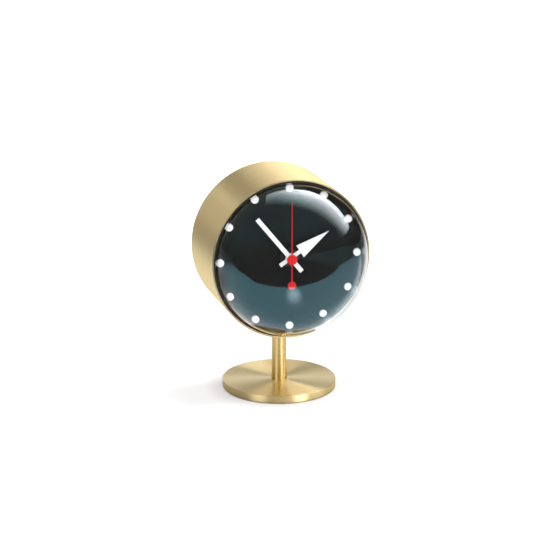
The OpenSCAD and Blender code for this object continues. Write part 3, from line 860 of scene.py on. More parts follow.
@dataclass(frozen=True)
class ClearDome(Finish):
    """Polished clear plastic with a cool reflection and painted shade where it is seen edge-on, that lets the
    lamps' light through.
    """

    tint: Colour = (0.30, 0.80, 1.0)
    # Grey that the colour goes to where the lens is seen edge-on: painted shade on its rim.
    rim_shade_tone: Colour = (0.40, 0.41, 0.40)
    grazing_shade: Ease = Ease(0.7, 0.97)
    ior: float = 1.5
    smudge_scale: float = 30.0
    smudge_tone: float = 0.985

    def fill(self, graph: Graph) -> None:
        """Clear plastic for what is seen, with painted shade where it is seen edge-on, and nothing in the way
        of the lamps.

        Args:
            graph: The material's graph.
        """
        place = self.place(graph)
        touch = graph.group(handling(), {"Vector": place, "Scale": self.smudge_scale, "Amount": 1.0})
        body = graph.blend(touch["Smudge"], self.colour, scaled(self.colour, self.smudge_tone))
        # Painted shade: towards a grazing view the colour goes to a dull grey, which darkens the rim.
        grazing_shade = graph.ease(graph.add("ShaderNodeLayerWeight").outputs["Facing"], self.grazing_shade)
        clear = graph.add("ShaderNodeBsdfPrincipled", {
            "Base Color": graph.blend(grazing_shade, body, self.rim_shade_tone),
            "Roughness": self.roughness,
            "IOR": self.ior,
            "Specular Tint": self.tint,
            "Transmission Weight": 1.0,
        })
        open_way = graph.add("ShaderNodeBsdfTransparent")
        paths = graph.add("ShaderNodeLightPath").outputs
        lit = graph.math("MAXIMUM", paths["Is Shadow Ray"], paths["Is Diffuse Ray"])
        both = {0: lit, 1: clear.outputs[0], 2: open_way.outputs[0]}
        self.output(graph, graph.add("ShaderNodeMixShader", both))


@dataclass(frozen=True)
class Winding(Finish):
    """Enamelled wire wound along X."""

    pitch: float = 0.18 * MM
    # Share of the colour left in the grooves between turns: painted shade.
    groove_shade_tone: float = 0.45
    crest_gloss: float = -0.1
    metallic: float = 0.9
    relief: float = 0.05 * MM
    strength: float = 0.6

    def fill(self, graph: Graph) -> None:
        """Turns of wire in relief, with painted shade in the grooves between them.

        Args:
            graph: The material's graph.
        """
        x, _, _ = graph.parts(self.place(graph))
        phase = graph.times(graph.math("DIVIDE", x, self.pitch), FULL_TURN)
        wire = graph.math("ABSOLUTE", graph.math("SINE", phase))
        self.output(graph, graph.add("ShaderNodeBsdfPrincipled", {
            # Painted shade: the colour darkens where one turn meets the next.
            "Base Color": graph.blend(wire, scaled(self.colour, self.groove_shade_tone), self.colour),
            "Metallic": self.metallic,
            "Roughness": graph.math("MULTIPLY_ADD", wire, self.crest_gloss, self.roughness),
            "Normal": self.bump(graph, wire, self.strength, self.relief),
        }))


@dataclass(frozen=True)
class PrintedBoard(Finish):
    """Lacquered circuit board with traces under the lacquer."""

    trace: Colour = (0.30, 0.52, 0.22)
    gap_tone: float = 0.6
    gap_width: float = 0.08
    lane_scale: float = 420.0
    lacquer: float = 0.4
    relief: float = 0.02 * MM
    strength: float = 0.3

    def fill(self, graph: Graph) -> None:
        """Traces as blocks of a brick pattern.

        Args:
            graph: The material's graph.
        """
        x, _, z = graph.parts(self.place(graph))
        lanes = graph.add("ShaderNodeTexBrick", {
            "Vector": graph.join(x, z, 0.0),
            "Color1": self.colour,
            "Color2": self.trace,
            "Mortar": scaled(self.colour, self.gap_tone),
            "Scale": self.lane_scale,
            "Mortar Size": self.gap_width,
        }).outputs
        self.output(graph, graph.add("ShaderNodeBsdfPrincipled", {
            "Base Color": lanes["Color"],
            "Roughness": self.roughness,
            "Coat Weight": self.lacquer,
            "Normal": self.bump(graph, lanes["Fac"], self.strength, self.relief),
        }))


@dataclass(frozen=True)
class CellJacket(Finish):
    """Plain jacket of a battery that lies along X, with a copper-coloured end.

    The caps and the band are shares of the battery's length: where one tone ends and the next begins.
    """

    low: float = 0.0
    high: float = 0.0
    steel: Colour = (0.6, 0.61, 0.63)
    band: Colour = (0.72, 0.38, 0.16)
    low_cap: Point2 = (0.012, 0.016)
    band_start: Point2 = (0.76, 0.764)
    high_cap: Point2 = (0.965, 0.97)
    metallic: float = 0.85
    smudge_scale: float = 60.0
    smudge_gloss: float = 0.2

    def fill(self, graph: Graph) -> None:
        """Dark jacket, coloured end and bare steel at both ends.

        Args:
            graph: The material's graph.
        """
        place = self.place(graph)
        x, _, _ = graph.parts(place)
        length = {"Value": x, "From Min": self.low, "From Max": self.high}
        share = graph.add("ShaderNodeMapRange", length).outputs["Result"]
        tones = [self.steel, self.steel, self.colour, self.colour, self.band, self.band, self.steel]
        stops = list(zip([0.0, *self.low_cap, *self.band_start, *self.high_cap], tones))
        touch = graph.group(handling(), {"Vector": place, "Scale": self.smudge_scale, "Amount": 1.0})
        self.output(graph, graph.add("ShaderNodeBsdfPrincipled", {
            "Base Color": graph.ramp(share, stops),
            "Metallic": self.metallic,
            "Roughness": graph.math("MULTIPLY_ADD", touch["Smudge"], self.smudge_gloss, self.roughness),
        }))


@dataclass
class Case:
    """Drum, lens, seat ring and hour dots."""

    body: str = "stand_and_case"
    lip: float = 0.12 * MM
    ring_gap: float = 0.05 * MM
    ring_edge: float = 0.15 * MM
    lens_wall: float = 1.1 * MM
    lens_roll: float = 28 * MM
    lens_ledge: float = 1.1 * MM
    lens_gap: float = 0.1 * MM
    crown_steps: int = 26
    roll_steps: int = 40
    dot_count: int = 12
    dot_radius: float = 2.65 * MM
    dot_pin: float = 1.0 * MM
    dot_crown: float = 0.25 * MM
    dot_edge: float = 0.55 * MM
    dot_shares: tuple[float, ...] = (0.8, 0.6, 0.4, 0.2)
    drum: Extent = field(default_factory=lambda: Extent.of("case_drum"))
    lens: Extent = field(default_factory=lambda: Extent.of("lens"))
    ring: Extent = field(default_factory=lambda: Extent.of("lens_seat_ring"))
    dial: Extent = field(default_factory=lambda: Extent.of("dial"))
    dots: Extent = field(default_factory=lambda: Extent.of("hour_dots"))

    @property
    def axis_point(self) -> Vector:
        """A point on the drum's axis."""
        return Vector((0.0, 0.0, self.drum.centre.z))

    @property
    def bore(self) -> float:
        """Radius of the drum's bore, where the ring sits."""
        return self.ring.radius + self.ring_gap

    def build_drum(self) -> bpy.types.Object:
        """Open drum with eased lips at both ends.

        Returns:
            The drum.
        """
        radius, front, back = self.drum.radius, self.drum.low.y, self.drum.high.y
        outline = [(self.bore, front), (radius, front), (radius, back), (self.bore, back)]
        return finish_mesh(turned("case_drum_shell", Axis.DRUM, self.axis_point, outline), self.lip)

    def lens_outline(self, inset: float) -> list[Point2]:
        """Outline of the lens from its crown to its foot: a shallow crown that meets a tighter roll.

        Args:
            inset: How far inside the outer face it lies.

        Returns:
            Points of radius and place along the drum's axis.
        """
        rim, radius = self.drum.low.y, self.lens.radius
        inner = radius - self.lens_roll
        bulge = rim - self.lens.low.y
        slope = 2 * math.atan((bulge - self.lens_roll) / inner)
        crown = self.lens_roll + inner / math.sin(slope) - inset
        centre = rim + inner / math.tan(slope)
        meet = 90 - math.degrees(slope)
        crown_arc = arc((0.0, 0.0), crown, 90, meet, self.crown_steps)
        roll_arc = arc((inner, 0.0), self.lens_roll - inset, meet, 0, self.roll_steps)
        points = [(max(r, 0.0), centre - a) for r, a in crown_arc]
        points[0] = (0.0, centre - crown)
        points += [(r, rim - a) for r, a in roll_arc[1:]]
        return points + [(radius - inset, self.lens.high.y)]

    def build_lens(self) -> bpy.types.Object:
        """Domed lens with a wall, closed at its foot.

        Returns:
            The lens.
        """
        outline = self.lens_outline(0.0) + self.lens_outline(self.lens_wall)[::-1]
        return finish_mesh(turned("domed_lens", Axis.DRUM, self.axis_point, outline, ring=False))

    def build_ring(self) -> bpy.types.Object:
        """Black ring that centres the lens and spaces the dial.

        Returns:
            The ring.
        """
        ledge = self.lens.radius - self.lens_ledge
        groove = self.lens.radius + self.lens_gap
        outer, front, back = self.ring.radius, self.ring.low.y, self.ring.high.y
        seat = self.lens.high.y
        outline = [(groove, front), (outer, front), (outer, back),
                   (ledge, back), (ledge, seat), (groove, seat)]
        return finish_mesh(turned("seat_ring", Axis.DRUM, self.axis_point, outline), self.ring_edge, 2)

    def build_dot(self, index: int) -> bpy.types.Object:
        """One hour dot: a round peg with a soft edge and a pin behind it.

        Args:
            index: Its number, from 0 at three o'clock.

        Returns:
            The peg.
        """
        face, top, pin_end = self.dial.low.y, self.dots.low.y, self.dots.high.y
        circle = self.dots.radius - self.dot_radius
        turn = FULL_TURN * index / self.dot_count
        centre = self.axis_point + Vector((circle * math.cos(turn), 0.0, circle * math.sin(turn)))
        outline = [(0.0, pin_end), (self.dot_pin, pin_end), (self.dot_pin, face), (self.dot_radius, face)]
        outline += domed_face(self.dot_radius, top, self.dot_crown, self.dot_edge, self.dot_shares)
        name = f"hour_dot_{index + 1:02d}"
        return finish_mesh(turned(name, Axis.DRUM, centre, outline, ring=False, steps=SMALL_STEPS))

    def build(self, wardrobe: "Wardrobe") -> None:
        """Builds and dresses the case.

        Args:
            wardrobe: The finishes.
        """
        drum_brass = wardrobe.drum_brass(self.axis_point.z)
        carried(self.build_drum(), self.body, ["case_drum"], drum_brass.build())
        carried(self.build_lens(), self.body, ["lens"], wardrobe.clear.build())
        carried(self.build_ring(), self.body, ["lens_seat_ring"], wardrobe.ring.build())
        for index in range(self.dot_count):
            carried(self.build_dot(index), self.body, ["hour_dots"], wardrobe.peg.build())


@dataclass
class Stand:
    """Base disc, its pad and the post."""

    body: str = "stand_and_case"
    disc_edge: float = 0.3 * MM
    pad_edge: float = 0.25 * MM
    post_edge: float = 0.12 * MM
    seat_gap: float = 0.05 * MM
    screw_hole: float = 2.55 * MM
    screw_head: float = 4.3 * MM
    head_depth: float = 1.8 * MM
    disc: Extent = field(default_factory=lambda: Extent.of("base_disc"))
    pad: Extent = field(default_factory=lambda: Extent.of("base_pad"))
    post: Extent = field(default_factory=lambda: Extent.of("stem"))
    drum: Extent = field(default_factory=lambda: Extent.of("case_drum"))

    def build_disc(self) -> bpy.types.Object:
        """Base disc with a recess for the pad, a counterbore for the screw and a seat for the post.

        Returns:
            The disc.
        """
        hole, head = self.screw_hole, self.screw_head
        pad_side, seat_side = self.pad.radius + self.seat_gap, self.post.radius + self.seat_gap
        low, top, roof, seat = self.disc.low.z, self.disc.high.z, self.pad.high.z, self.post.low.z
        shoulder = roof + self.head_depth
        outline = [(hole, shoulder), (head, shoulder), (head, roof), (pad_side, roof), (pad_side, low),
                   (self.disc.radius, low), (self.disc.radius, top), (seat_side, top),
                   (seat_side, seat), (hole, seat)]
        disc = turned("base_plate", Axis.POST, Vector(), outline, steps=2 * FINE_STEPS)
        return finish_mesh(disc, self.disc_edge)

    def build_pad(self) -> bpy.types.Object:
        """Pad under the base, with a soft edge.

        Returns:
            The pad.
        """
        low, high = self.pad.low.z, self.pad.high.z
        outline = [(0.0, low), (self.pad.radius, low), (self.pad.radius, high), (0.0, high)]
        return finish_mesh(turned("foot_pad", Axis.POST, Vector(), outline, ring=False), self.pad_edge)

    def build_post(self) -> bpy.types.Object:
        """Post with eased ends, saddled to the drum.

        Returns:
            The post.
        """
        radius, low, high, hole = self.post.radius, self.post.low.z, self.drum.centre.z, self.screw_hole
        outline = [(hole, low), (radius, low), (radius, high), (hole, high)]
        post = turned("round_post", Axis.POST, Vector(), outline, steps=COARSE_STEPS)
        reach = self.drum.radius
        round_bar = [(0.0, -reach), (reach, -reach), (reach, reach), (0.0, reach)]
        saddle = turned("saddle_tool", Axis.DRUM, self.drum.centre, round_bar, ring=False)
        return finish_mesh(carve(post, saddle), self.post_edge, 2)

    def build(self, wardrobe: "Wardrobe") -> None:
        """Builds and dresses the stand.

        Args:
            wardrobe: The finishes.
        """
        carried(self.build_disc(), self.body, ["base_disc"], wardrobe.base_brass.build())
        carried(self.build_pad(), self.body, ["base_pad"], wardrobe.rubber.build())
        carried(self.build_post(), self.body, ["stem"], wardrobe.post_brass.build())


@dataclass(frozen=True)
class Bar:
    """Sizes of a hand: half its bar's width, its hub, its bore, and how far its tail and tip reach."""

    half: float
    hub: float
    bore: float
    tail: float
    tip: float


@dataclass
class Hands:
    """Hour, minute and second hands, the red boss, and the nut and washer under them."""

    edge: float = 0.12 * MM
    hub_steps: int = 20
    drill_reach: float = 0.5 * MM
    minute: Bar = Bar(half=1.5 * MM, hub=3.0 * MM, bore=1.61 * MM, tail=11.3 * MM, tip=37.1 * MM)
    minute_angle: float = 321.0
    hour: Bar = Bar(half=1.4 * MM, hub=3.4 * MM, bore=2.41 * MM, tail=8.4 * MM, tip=31.3 * MM)
    hour_angle: float = 57.8
    arrow_start: float = 7.8 * MM
    arrow_half: float = 4.9 * MM
    second: Bar = Bar(half=0.4 * MM, hub=1.6 * MM, bore=0.46 * MM, tail=17.7 * MM, tip=38.2 * MM)
    needle_half: float = 0.22 * MM
    disc_radius: float = 2.8 * MM
    boss_edge: float = 0.35 * MM
    boss_crown: float = 0.3 * MM
    boss_shares: tuple[float, ...] = (0.85, 0.7, 0.5, 0.3, 0.15)
    bush_hole: float = 4.05 * MM
    nut_flat: float = 5.5 * MM
    nut_chamfer: Point2 = (0.1 * MM, 0.45 * MM)
    hole_chamfer: float = 0.2 * MM
    nut_edge: float = 0.06 * MM
    washer_edge: float = 0.08 * MM
    drum: Extent = field(default_factory=lambda: Extent.of("case_drum"))

    @property
    def centre(self) -> Vector:
        """Point that the hands turn about."""
        return Vector((0.0, 0.0, self.drum.centre.z))

    def hubbed(self, bar: Bar, head: Sequence[Point2]) -> list[Point2]:
        """Outline of a hand from its round hub round its head, anticlockwise; its tail is left to be added.

        Args:
            bar: The hand's sizes.
            head: The points beyond its hub, from the right side to the left.

        Returns:
            The points from the right side of the tail to the left.
        """
        meet = math.degrees(math.asin(bar.half / bar.hub))
        right = arc((0.0, 0.0), bar.hub, meet - 90, 90 - meet, self.hub_steps)
        left = arc((0.0, 0.0), bar.hub, 90 + meet, 270 - meet, self.hub_steps)
        return [*right, *head, *left]

    def cut_out(
        self,
        name: str,
        node: str,
        bar: Bar,
        outline: Sequence[Point2],
        angle: float,
    ) -> bpy.types.Object:
        """Cuts a hand from its outline, bores it for its pipe and eases its edges.

        Args:
            name: Name of the piece.
            node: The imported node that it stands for.
            bar: The hand's sizes.
            outline: Its outline, as it points at twelve.
            angle: Clock angle that it points at, in degrees.

        Returns:
            The hand.
        """
        place = Extent.of(node)
        blade = plate(name, outline, angle, self.centre, place.high.y, place.low.y)
        back, front = place.high.y + self.drill_reach, place.low.y - self.drill_reach
        drill = [(0.0, back), (bar.bore, back), (bar.bore, front), (0.0, front)]
        tool = turned("bore_tool", Axis.DRUM, self.centre, drill, ring=False, steps=SMALL_STEPS)
        return finish_mesh(carve(blade, tool), self.edge, 2)

    def build_minute(self) -> bpy.types.Object:
        """Straight bar with square ends.

        Returns:
            The minute hand.
        """
        half, tail, tip = self.minute.half, self.minute.tail, self.minute.tip
        upper = self.hubbed(self.minute, [(half, tip), (-half, tip)])
        outline = [(half, -tail), *upper, (-half, -tail)]
        return self.cut_out("minute_hand_blade", "minute_hand", self.minute, outline, self.minute_angle)

    def build_hour(self) -> bpy.types.Object:
        """Short bar with a long arrow head.

        Returns:
            The hour hand.
        """
        half, tail, start, wide = self.hour.half, self.hour.tail, self.arrow_start, self.arrow_half
        arrow = [(half, start), (wide, start), (0.0, self.hour.tip), (-wide, start), (-half, start)]
        outline = [(half, -tail), *self.hubbed(self.hour, arrow), (-half, -tail)]
        return self.cut_out("hour_hand_blade", "hour_hand", self.hour, outline, self.hour_angle)

    def build_second(self) -> bpy.types.Object:
        """Fine needle with a disc on its tail.

        Returns:
            The second hand.
        """
        tip, needle = self.second.tip, self.needle_half
        foot = math.degrees(math.asin(self.second.half / self.disc_radius))
        disc = arc((0.0, -self.second.tail), self.disc_radius, 90 + foot, 450 - foot, 2 * self.hub_steps)
        outline = [*disc, *self.hubbed(self.second, [(needle, tip), (-needle, tip)])]
        return self.cut_out("second_hand_needle", "second_hand", self.second, outline, 0.0)

    def build_boss(self) -> bpy.types.Object:
        """Low domed cap in the middle.

        Returns:
            The cap.
        """
        place = Extent.of("second_hand_boss")
        outline = [(0.0, place.high.y), (place.radius, place.high.y)]
        outline += domed_face(place.radius, place.low.y, self.boss_crown, self.boss_edge, self.boss_shares)
        boss = turned("red_boss", Axis.DRUM, self.centre, outline, ring=False, steps=COARSE_STEPS)
        return finish_mesh(boss)

    def build_nut(self) -> bpy.types.Object:
        """Hexagon nut with chamfered corners.

        Returns:
            The nut.
        """
        place = Extent.of("dial_nut")
        back, front, hole, flat = place.high.y, place.low.y, self.bush_hole, self.nut_flat
        corner = flat / math.cos(math.radians(30))
        inward, down = self.nut_chamfer
        hexagon = arc((0.0, 0.0), corner, 0, 300, 5)
        nut = plate("dial_nut_hex", hexagon, 0.0, self.centre, back, front)
        profile = [(hole, back), (corner, back), (corner, front + down), (flat - inward, front),
                   (hole + self.hole_chamfer, front), (hole, front + self.hole_chamfer)]
        lathe = turned("chamfer_tool", Axis.DRUM, self.centre, profile, steps=COARSE_STEPS)
        return finish_mesh(carve(nut, lathe, Cut.INSIDE), self.nut_edge, 2)

    def build_washer(self) -> bpy.types.Object:
        """Flat washer under the nut.

        Returns:
            The washer.
        """
        place = Extent.of("dial_washer")
        hole, side, front, back = self.bush_hole, place.radius, place.low.y, place.high.y
        outline = [(hole, front), (side, front), (side, back), (hole, back)]
        washer = turned("dial_washer_ring", Axis.DRUM, self.centre, outline, steps=COARSE_STEPS)
        return finish_mesh(washer, self.washer_edge, 2)

    def build(self, wardrobe: "Wardrobe") -> None:
        """Builds and dresses the hands.

        Args:
            wardrobe: The finishes.
        """
        white, red, black = wardrobe.white.build(), wardrobe.red.build(), wardrobe.blackened.build()
        carried(self.build_minute(), "minute_hand_set", ["minute_hand"], white)
        carried(self.build_hour(), "hour_hand_set", ["hour_hand"], white)
        carried(self.build_second(), "second_hand_set", ["second_hand"], red)
        carried(self.build_boss(), "second_hand_set", ["second_hand_boss"], red)
        carried(self.build_nut(), "stand_and_case", ["dial_nut"], black)
        carried(self.build_washer(), "stand_and_case", ["dial_washer"], black)


@dataclass
class Back:
    """Back cover, its door and screws, and the setting knob."""

    cover_edge: float = 0.25 * MM
    small_edge: float = 0.12 * MM

    def build(self, wardrobe: "Wardrobe") -> None:
        """Builds and dresses the back.

        Args:
            wardrobe: The finishes.
        """
        plastic, steel = wardrobe.plastic.build(), wardrobe.plain_steel.build()
        cover = eased_copy("rear_cover", "back_cover", self.cover_edge)
        carried(cover, "stand_and_case", ["rear_cover"], plastic)
        door = eased_copy("battery_door", "battery_hatch", self.small_edge)
        carried(door, "battery_flap", ["battery_door"], plastic)
        knob = eased_copy("setting_knob", "fluted_knob", self.small_edge)
        carried(knob, "setting_set", ["setting_knob"], wardrobe.knob_plastic.build())
        screws = eased_copy("cover_screws", "cross_screws", self.small_edge)
        carried(screws, "stand_and_case", ["cover_screws"], steel)


@dataclass
class Wardrobe:
    """All finishes of the clock."""

    base_brass: Finish = TurnedMetal(
        "base_satin_brass", (0.95, 0.79, 0.46), 0.39, (0.86, 0.69, 0.36), anisotropy=0.96)
    post_brass: Finish = TurnedMetal(
        "post_satin_brass", (0.86, 0.68, 0.33), 0.28, (0.75, 0.56, 0.23), anisotropy=0.94, spacing=0.12 * MM)
    clear: Finish = ClearDome("polished_dome", (0.985, 0.996, 1.0), 0.0)
    ring: Finish = Skin("ring_black", (0.022, 0.022, 0.019), 0.42, grain=0.4 * MM, gloss=0.3)
    dial: Finish = Skin("dial_black", (0.009, 0.009, 0.008), 0.5, grain=0.25 * MM, lift=1.1, gloss=0.1)
    blackened: Finish = Skin("blackened_steel", (0.02, 0.02, 0.021), 0.4, grain=0.2 * MM, gloss=0.4)
    peg: Finish = Skin("peg_white", (0.94, 0.975, 0.99), 0.38, grain=0.6 * MM, lift=1.03, relief=0.002 * MM)
    white: Finish = Skin("hand_white", (0.80, 0.83, 0.84), 0.42, lift=1.03, relief=0.003 * MM)
    red: Finish = Skin("hand_red", (0.60, 0.010, 0.008), 0.38, lift=1.06, coat=0.05, gloss=0.3)
    rubber: Finish = Skin(
        "pad_black", (0.02, 0.02, 0.021), 0.8, grain=0.8 * MM, relief=0.02 * MM, strength=0.6)
    plastic: Finish = Skin(
        "moulded_black", (0.02, 0.021, 0.023), 0.52, grain=0.6 * MM, relief=0.01 * MM, strength=0.5)
    knob_plastic: Finish = Skin("knob_black", (0.024, 0.025, 0.027), 0.42, grain=0.4 * MM, relief=0.006 * MM)
    gear_plastic: Finish = Skin("gear_cream", (0.76, 0.70, 0.56), 0.45, grain=0.4 * MM, lift=1.05)
    lead_red: Finish = Skin("lead_sleeve", (0.5, 0.02, 0.02), 0.35, grain=0.2 * MM)
    plain_steel: Finish = Skin(
        "plain_steel", (0.56, 0.57, 0.58), 0.3, grain=0.25 * MM, lift=1.1, metallic=1.0)
    magnet: Finish = Skin("sintered_magnet", (0.11, 0.11, 0.12), 0.45, grain=0.2 * MM, lift=1.3, metallic=0.8)
    coil: Finish = Winding("enamelled_wire", (0.62, 0.26, 0.09), 0.4)
    board: Finish = PrintedBoard("lacquered_board", (0.04, 0.16, 0.07), 0.4)

    def drum_brass(self, height: float) -> Finish:
        """Satin brass of the drum, brushed round its axis at this height."""
        return TurnedMetal(
            "drum_satin_brass", (0.93, 0.77, 0.44), 0.46, (0.86, 0.68, 0.36),
            axis=Axis.DRUM, centre=(0.0, height), anisotropy=0.92, spacing=0.18 * MM)

    def movement_brass(self, height: float) -> Finish:
        """Bright turned brass of the movement's wheels."""
        return TurnedMetal(
            "wheel_brass", (0.88, 0.70, 0.32), 0.25, (0.76, 0.56, 0.22),
            axis=Axis.DRUM, centre=(0.0, height), anisotropy=0.5, spacing=0.1 * MM)

    def dress_frame(self) -> None:
        """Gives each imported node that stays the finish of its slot."""
        height = Extent.of("case_drum").centre.z
        cell = Extent.of("battery")
        jacket = CellJacket("cell_jacket", (0.03, 0.032, 0.036), 0.3, low=cell.low.x, high=cell.high.x)
        by_slot = {
            "satin_brass": self.base_brass,
            "movement_brass": self.movement_brass(height),
            "steel": self.plain_steel,
            "black_plastic": self.plastic,
            "black_paint": self.dial,
            "pad_rubber": self.rubber,
            "gear_plastic": self.gear_plastic,
            "coil_copper": self.coil,
            "board": self.board,
            "lead_red": self.lead_red,
            "rotor_magnet": self.magnet,
            "battery_steel": jacket,
        }
        for part in frame["record"]["subparts"]:
            node, slot = frame["nodes"][part["node"]], part["material_slot"]
            if node.hide_render:
                continue
            finish = by_slot[slot].build()
            for place in range(max(1, len(node.data.materials))):
                if place < len(node.material_slots):
                    node.material_slots[place].link = "OBJECT"
                    node.material_slots[place].material = finish
                else:
                    node.data.materials.append(finish)
            LOG.info("%s keeps its packed mesh in %s", part["node"], finish.name)


def ray_kinds(graph: Graph) -> tuple[Socket, Socket]:
    """Tells the rays of the studio's own materials apart.

    Args:
        graph: The material's graph.

    Returns:
        1 for what the camera sees straight or through the clear lens, and 1 for what gloss shows.
    """
    one_bounce = 0.5
    paths = graph.add("ShaderNodeLightPath").outputs
    bounces = graph.total(paths["Glossy Depth"], paths["Diffuse Depth"])
    through = graph.times(paths["Is Transmission Ray"], graph.math("LESS_THAN", bounces, one_bounce))
    seen = graph.math("MAXIMUM", paths["Is Camera Ray"], through)
    after_gloss = graph.math("GREATER_THAN", paths["Glossy Depth"], one_bounce)
    return seen, graph.math("MAXIMUM", paths["Is Glossy Ray"], after_gloss)


def in_lens(graph: Graph) -> Socket:
    """1 for what the clear lens mirrors or lets through, and 0 for what brushed metal shows."""
    return graph.add("ShaderNodeLightPath").outputs["Is Singular Ray"]


def towards(azimuth: float, elevation: float) -> Vector:
    """Unit vector that points from the clock at a place in the studio.

    Args:
        azimuth: Degrees from straight in front, positive to the right.
        elevation: Degrees above the floor.

    Returns:
        The direction.
    """
    turn, rise = math.radians(azimuth), math.radians(elevation)
    return Vector((math.sin(turn) * math.cos(rise), -math.cos(turn) * math.cos(rise), math.sin(rise)))


def stage_material(name: str) -> tuple[bpy.types.Material, Graph]:
    """Starts a material of the studio, which isn't sampled as a lamp.

    Args:
        name: Its name.

    Returns:
        The material and its graph.
    """
    made = bpy.data.materials.new(name)
    made.use_nodes = True
    made.cycles.emission_sampling = "NONE"
    return made, Graph(made.node_tree)


@dataclass(frozen=True)
class Panel:
    """A pale screen or strip about the clock, as brushed metal shows it: a soft patch of light."""

    angle: float
    half_width: float
    glow: float

    def at(self, graph: Graph, turn: Fed) -> Socket:
        """Its light from a direction.

        Args:
            graph: The graph that shows it.
            turn: The direction, in degrees round the clock.

        Returns:
            The light.
        """
        off = graph.math("WRAP", graph.math("SUBTRACT", turn, self.angle), 180.0, -180.0)
        return graph.ease(graph.math("ABSOLUTE", off), Ease(0.0, self.half_width, self.glow, 0.0))


@dataclass(frozen=True)
class Sheet:
    """The lit sheet that the clock stands on, with a shallow bow for its front edge."""

    middle: float = 0.01
    front: float = -0.226
    bow: float = -1.05
    left_reach: float = -0.17
    right_reach: float = 0.32
    corner: float = -0.26
    corner_slope: float = 0.25
    blur: Ease = Ease(-0.007, 0.009)

    def share(self, graph: Graph, x: Fed, y: Fed) -> Socket:
        """Tells the sheet from the floor in front of it.

        Args:
            graph: The floor's graph.
            x: Place to the right.
            y: Place towards the back.

        Returns:
            1 on the sheet, and 0 in front of its edge.
        """
        off = graph.math("SUBTRACT", x, self.middle)
        reach = graph.math("MAXIMUM", graph.math("MINIMUM", off, self.right_reach), self.left_reach)
        past_corner = graph.math("MAXIMUM", graph.math("SUBTRACT", self.corner, x), 0.0)
        bow, turn = graph.times(reach, reach, self.bow), graph.times(past_corner, self.corner_slope)
        edge = graph.total(bow, turn, self.front)
        return graph.ease(graph.math("SUBTRACT", y, edge), self.blur)


@dataclass(frozen=True)
class LensFloor:
    """The floor as the clear lens mirrors it: the sheet with its soft shades, and one small bright spot."""

    level: float = 1.4
    right_side: Ease = Ease(0.02, 0.09)
    right_front: Ease = Ease(-0.11, -0.05, 0.0, 1.1)
    right_back: Ease = Ease(-0.035, 0.005, 0.0, 1.5)
    shade_side: Ease = Ease(-0.02, 0.06, 1.0, 0.0)
    shade_back: Ease = Ease(-0.05, 0.12, 0.0, 0.75)
    shade_end: Ease = Ease(-0.35, -0.15, 0.45, 1.0)
    distance: Ease = Ease(0.25, 1.1, 1.0, 0.2)
    off_sheet: Ease = Ease(0.22, 0.45, 0.04, 0.2)
    spot_place: Point2 = (0.010, -0.183)
    spot_squeeze: Point2 = (1.5, 0.65)
    spot_edge: Ease = Ease(0.0, 0.042, 1.0, 0.0)
    spot_light: Colour = (7.0, 3.9, 3.6)

    def colour(self, graph: Graph, x: Fed, y: Fed, sheet: Fed) -> Socket:
        """Colour of the mirrored floor.

        Args:
            graph: The floor's graph.
            x: Place to the right.
            y: Place towards the back.
            sheet: 1 on the lit sheet, and 0 in front of it.

        Returns:
            The colour.
        """
        right = graph.ease(x, self.right_side)
        brighter = graph.times(right, graph.ease(y, self.right_front))
        darker = graph.times(right, graph.ease(y, self.right_back))
        pale = graph.total(graph.math("SUBTRACT", brighter, darker), self.level)
        shade = graph.times(graph.ease(x, self.shade_side), graph.ease(y, self.shade_back))
        shade = graph.times(shade, graph.ease(x, self.shade_end))
        fade = graph.ease(graph.length(x, y), self.distance)
        on_sheet = graph.times(sheet, pale, graph.rest(shade), fade)
        beyond = graph.times(graph.rest(sheet), graph.ease(x, self.off_sheet))
        (spot_x, spot_y), (squeeze_x, squeeze_y) = self.spot_place, self.spot_squeeze
        off_x = graph.times(graph.math("SUBTRACT", x, spot_x), squeeze_x)
        off_y = graph.times(graph.math("SUBTRACT", y, spot_y), squeeze_y)
        glow = graph.times(sheet, graph.ease(graph.length(off_x, off_y), self.spot_edge))
        both = {0: graph.grey(graph.total(on_sheet, beyond)), 1: graph.blend(glow, BLACK, self.spot_light)}
        return graph.add("ShaderNodeVectorMath", both, operation="ADD").outputs[0]


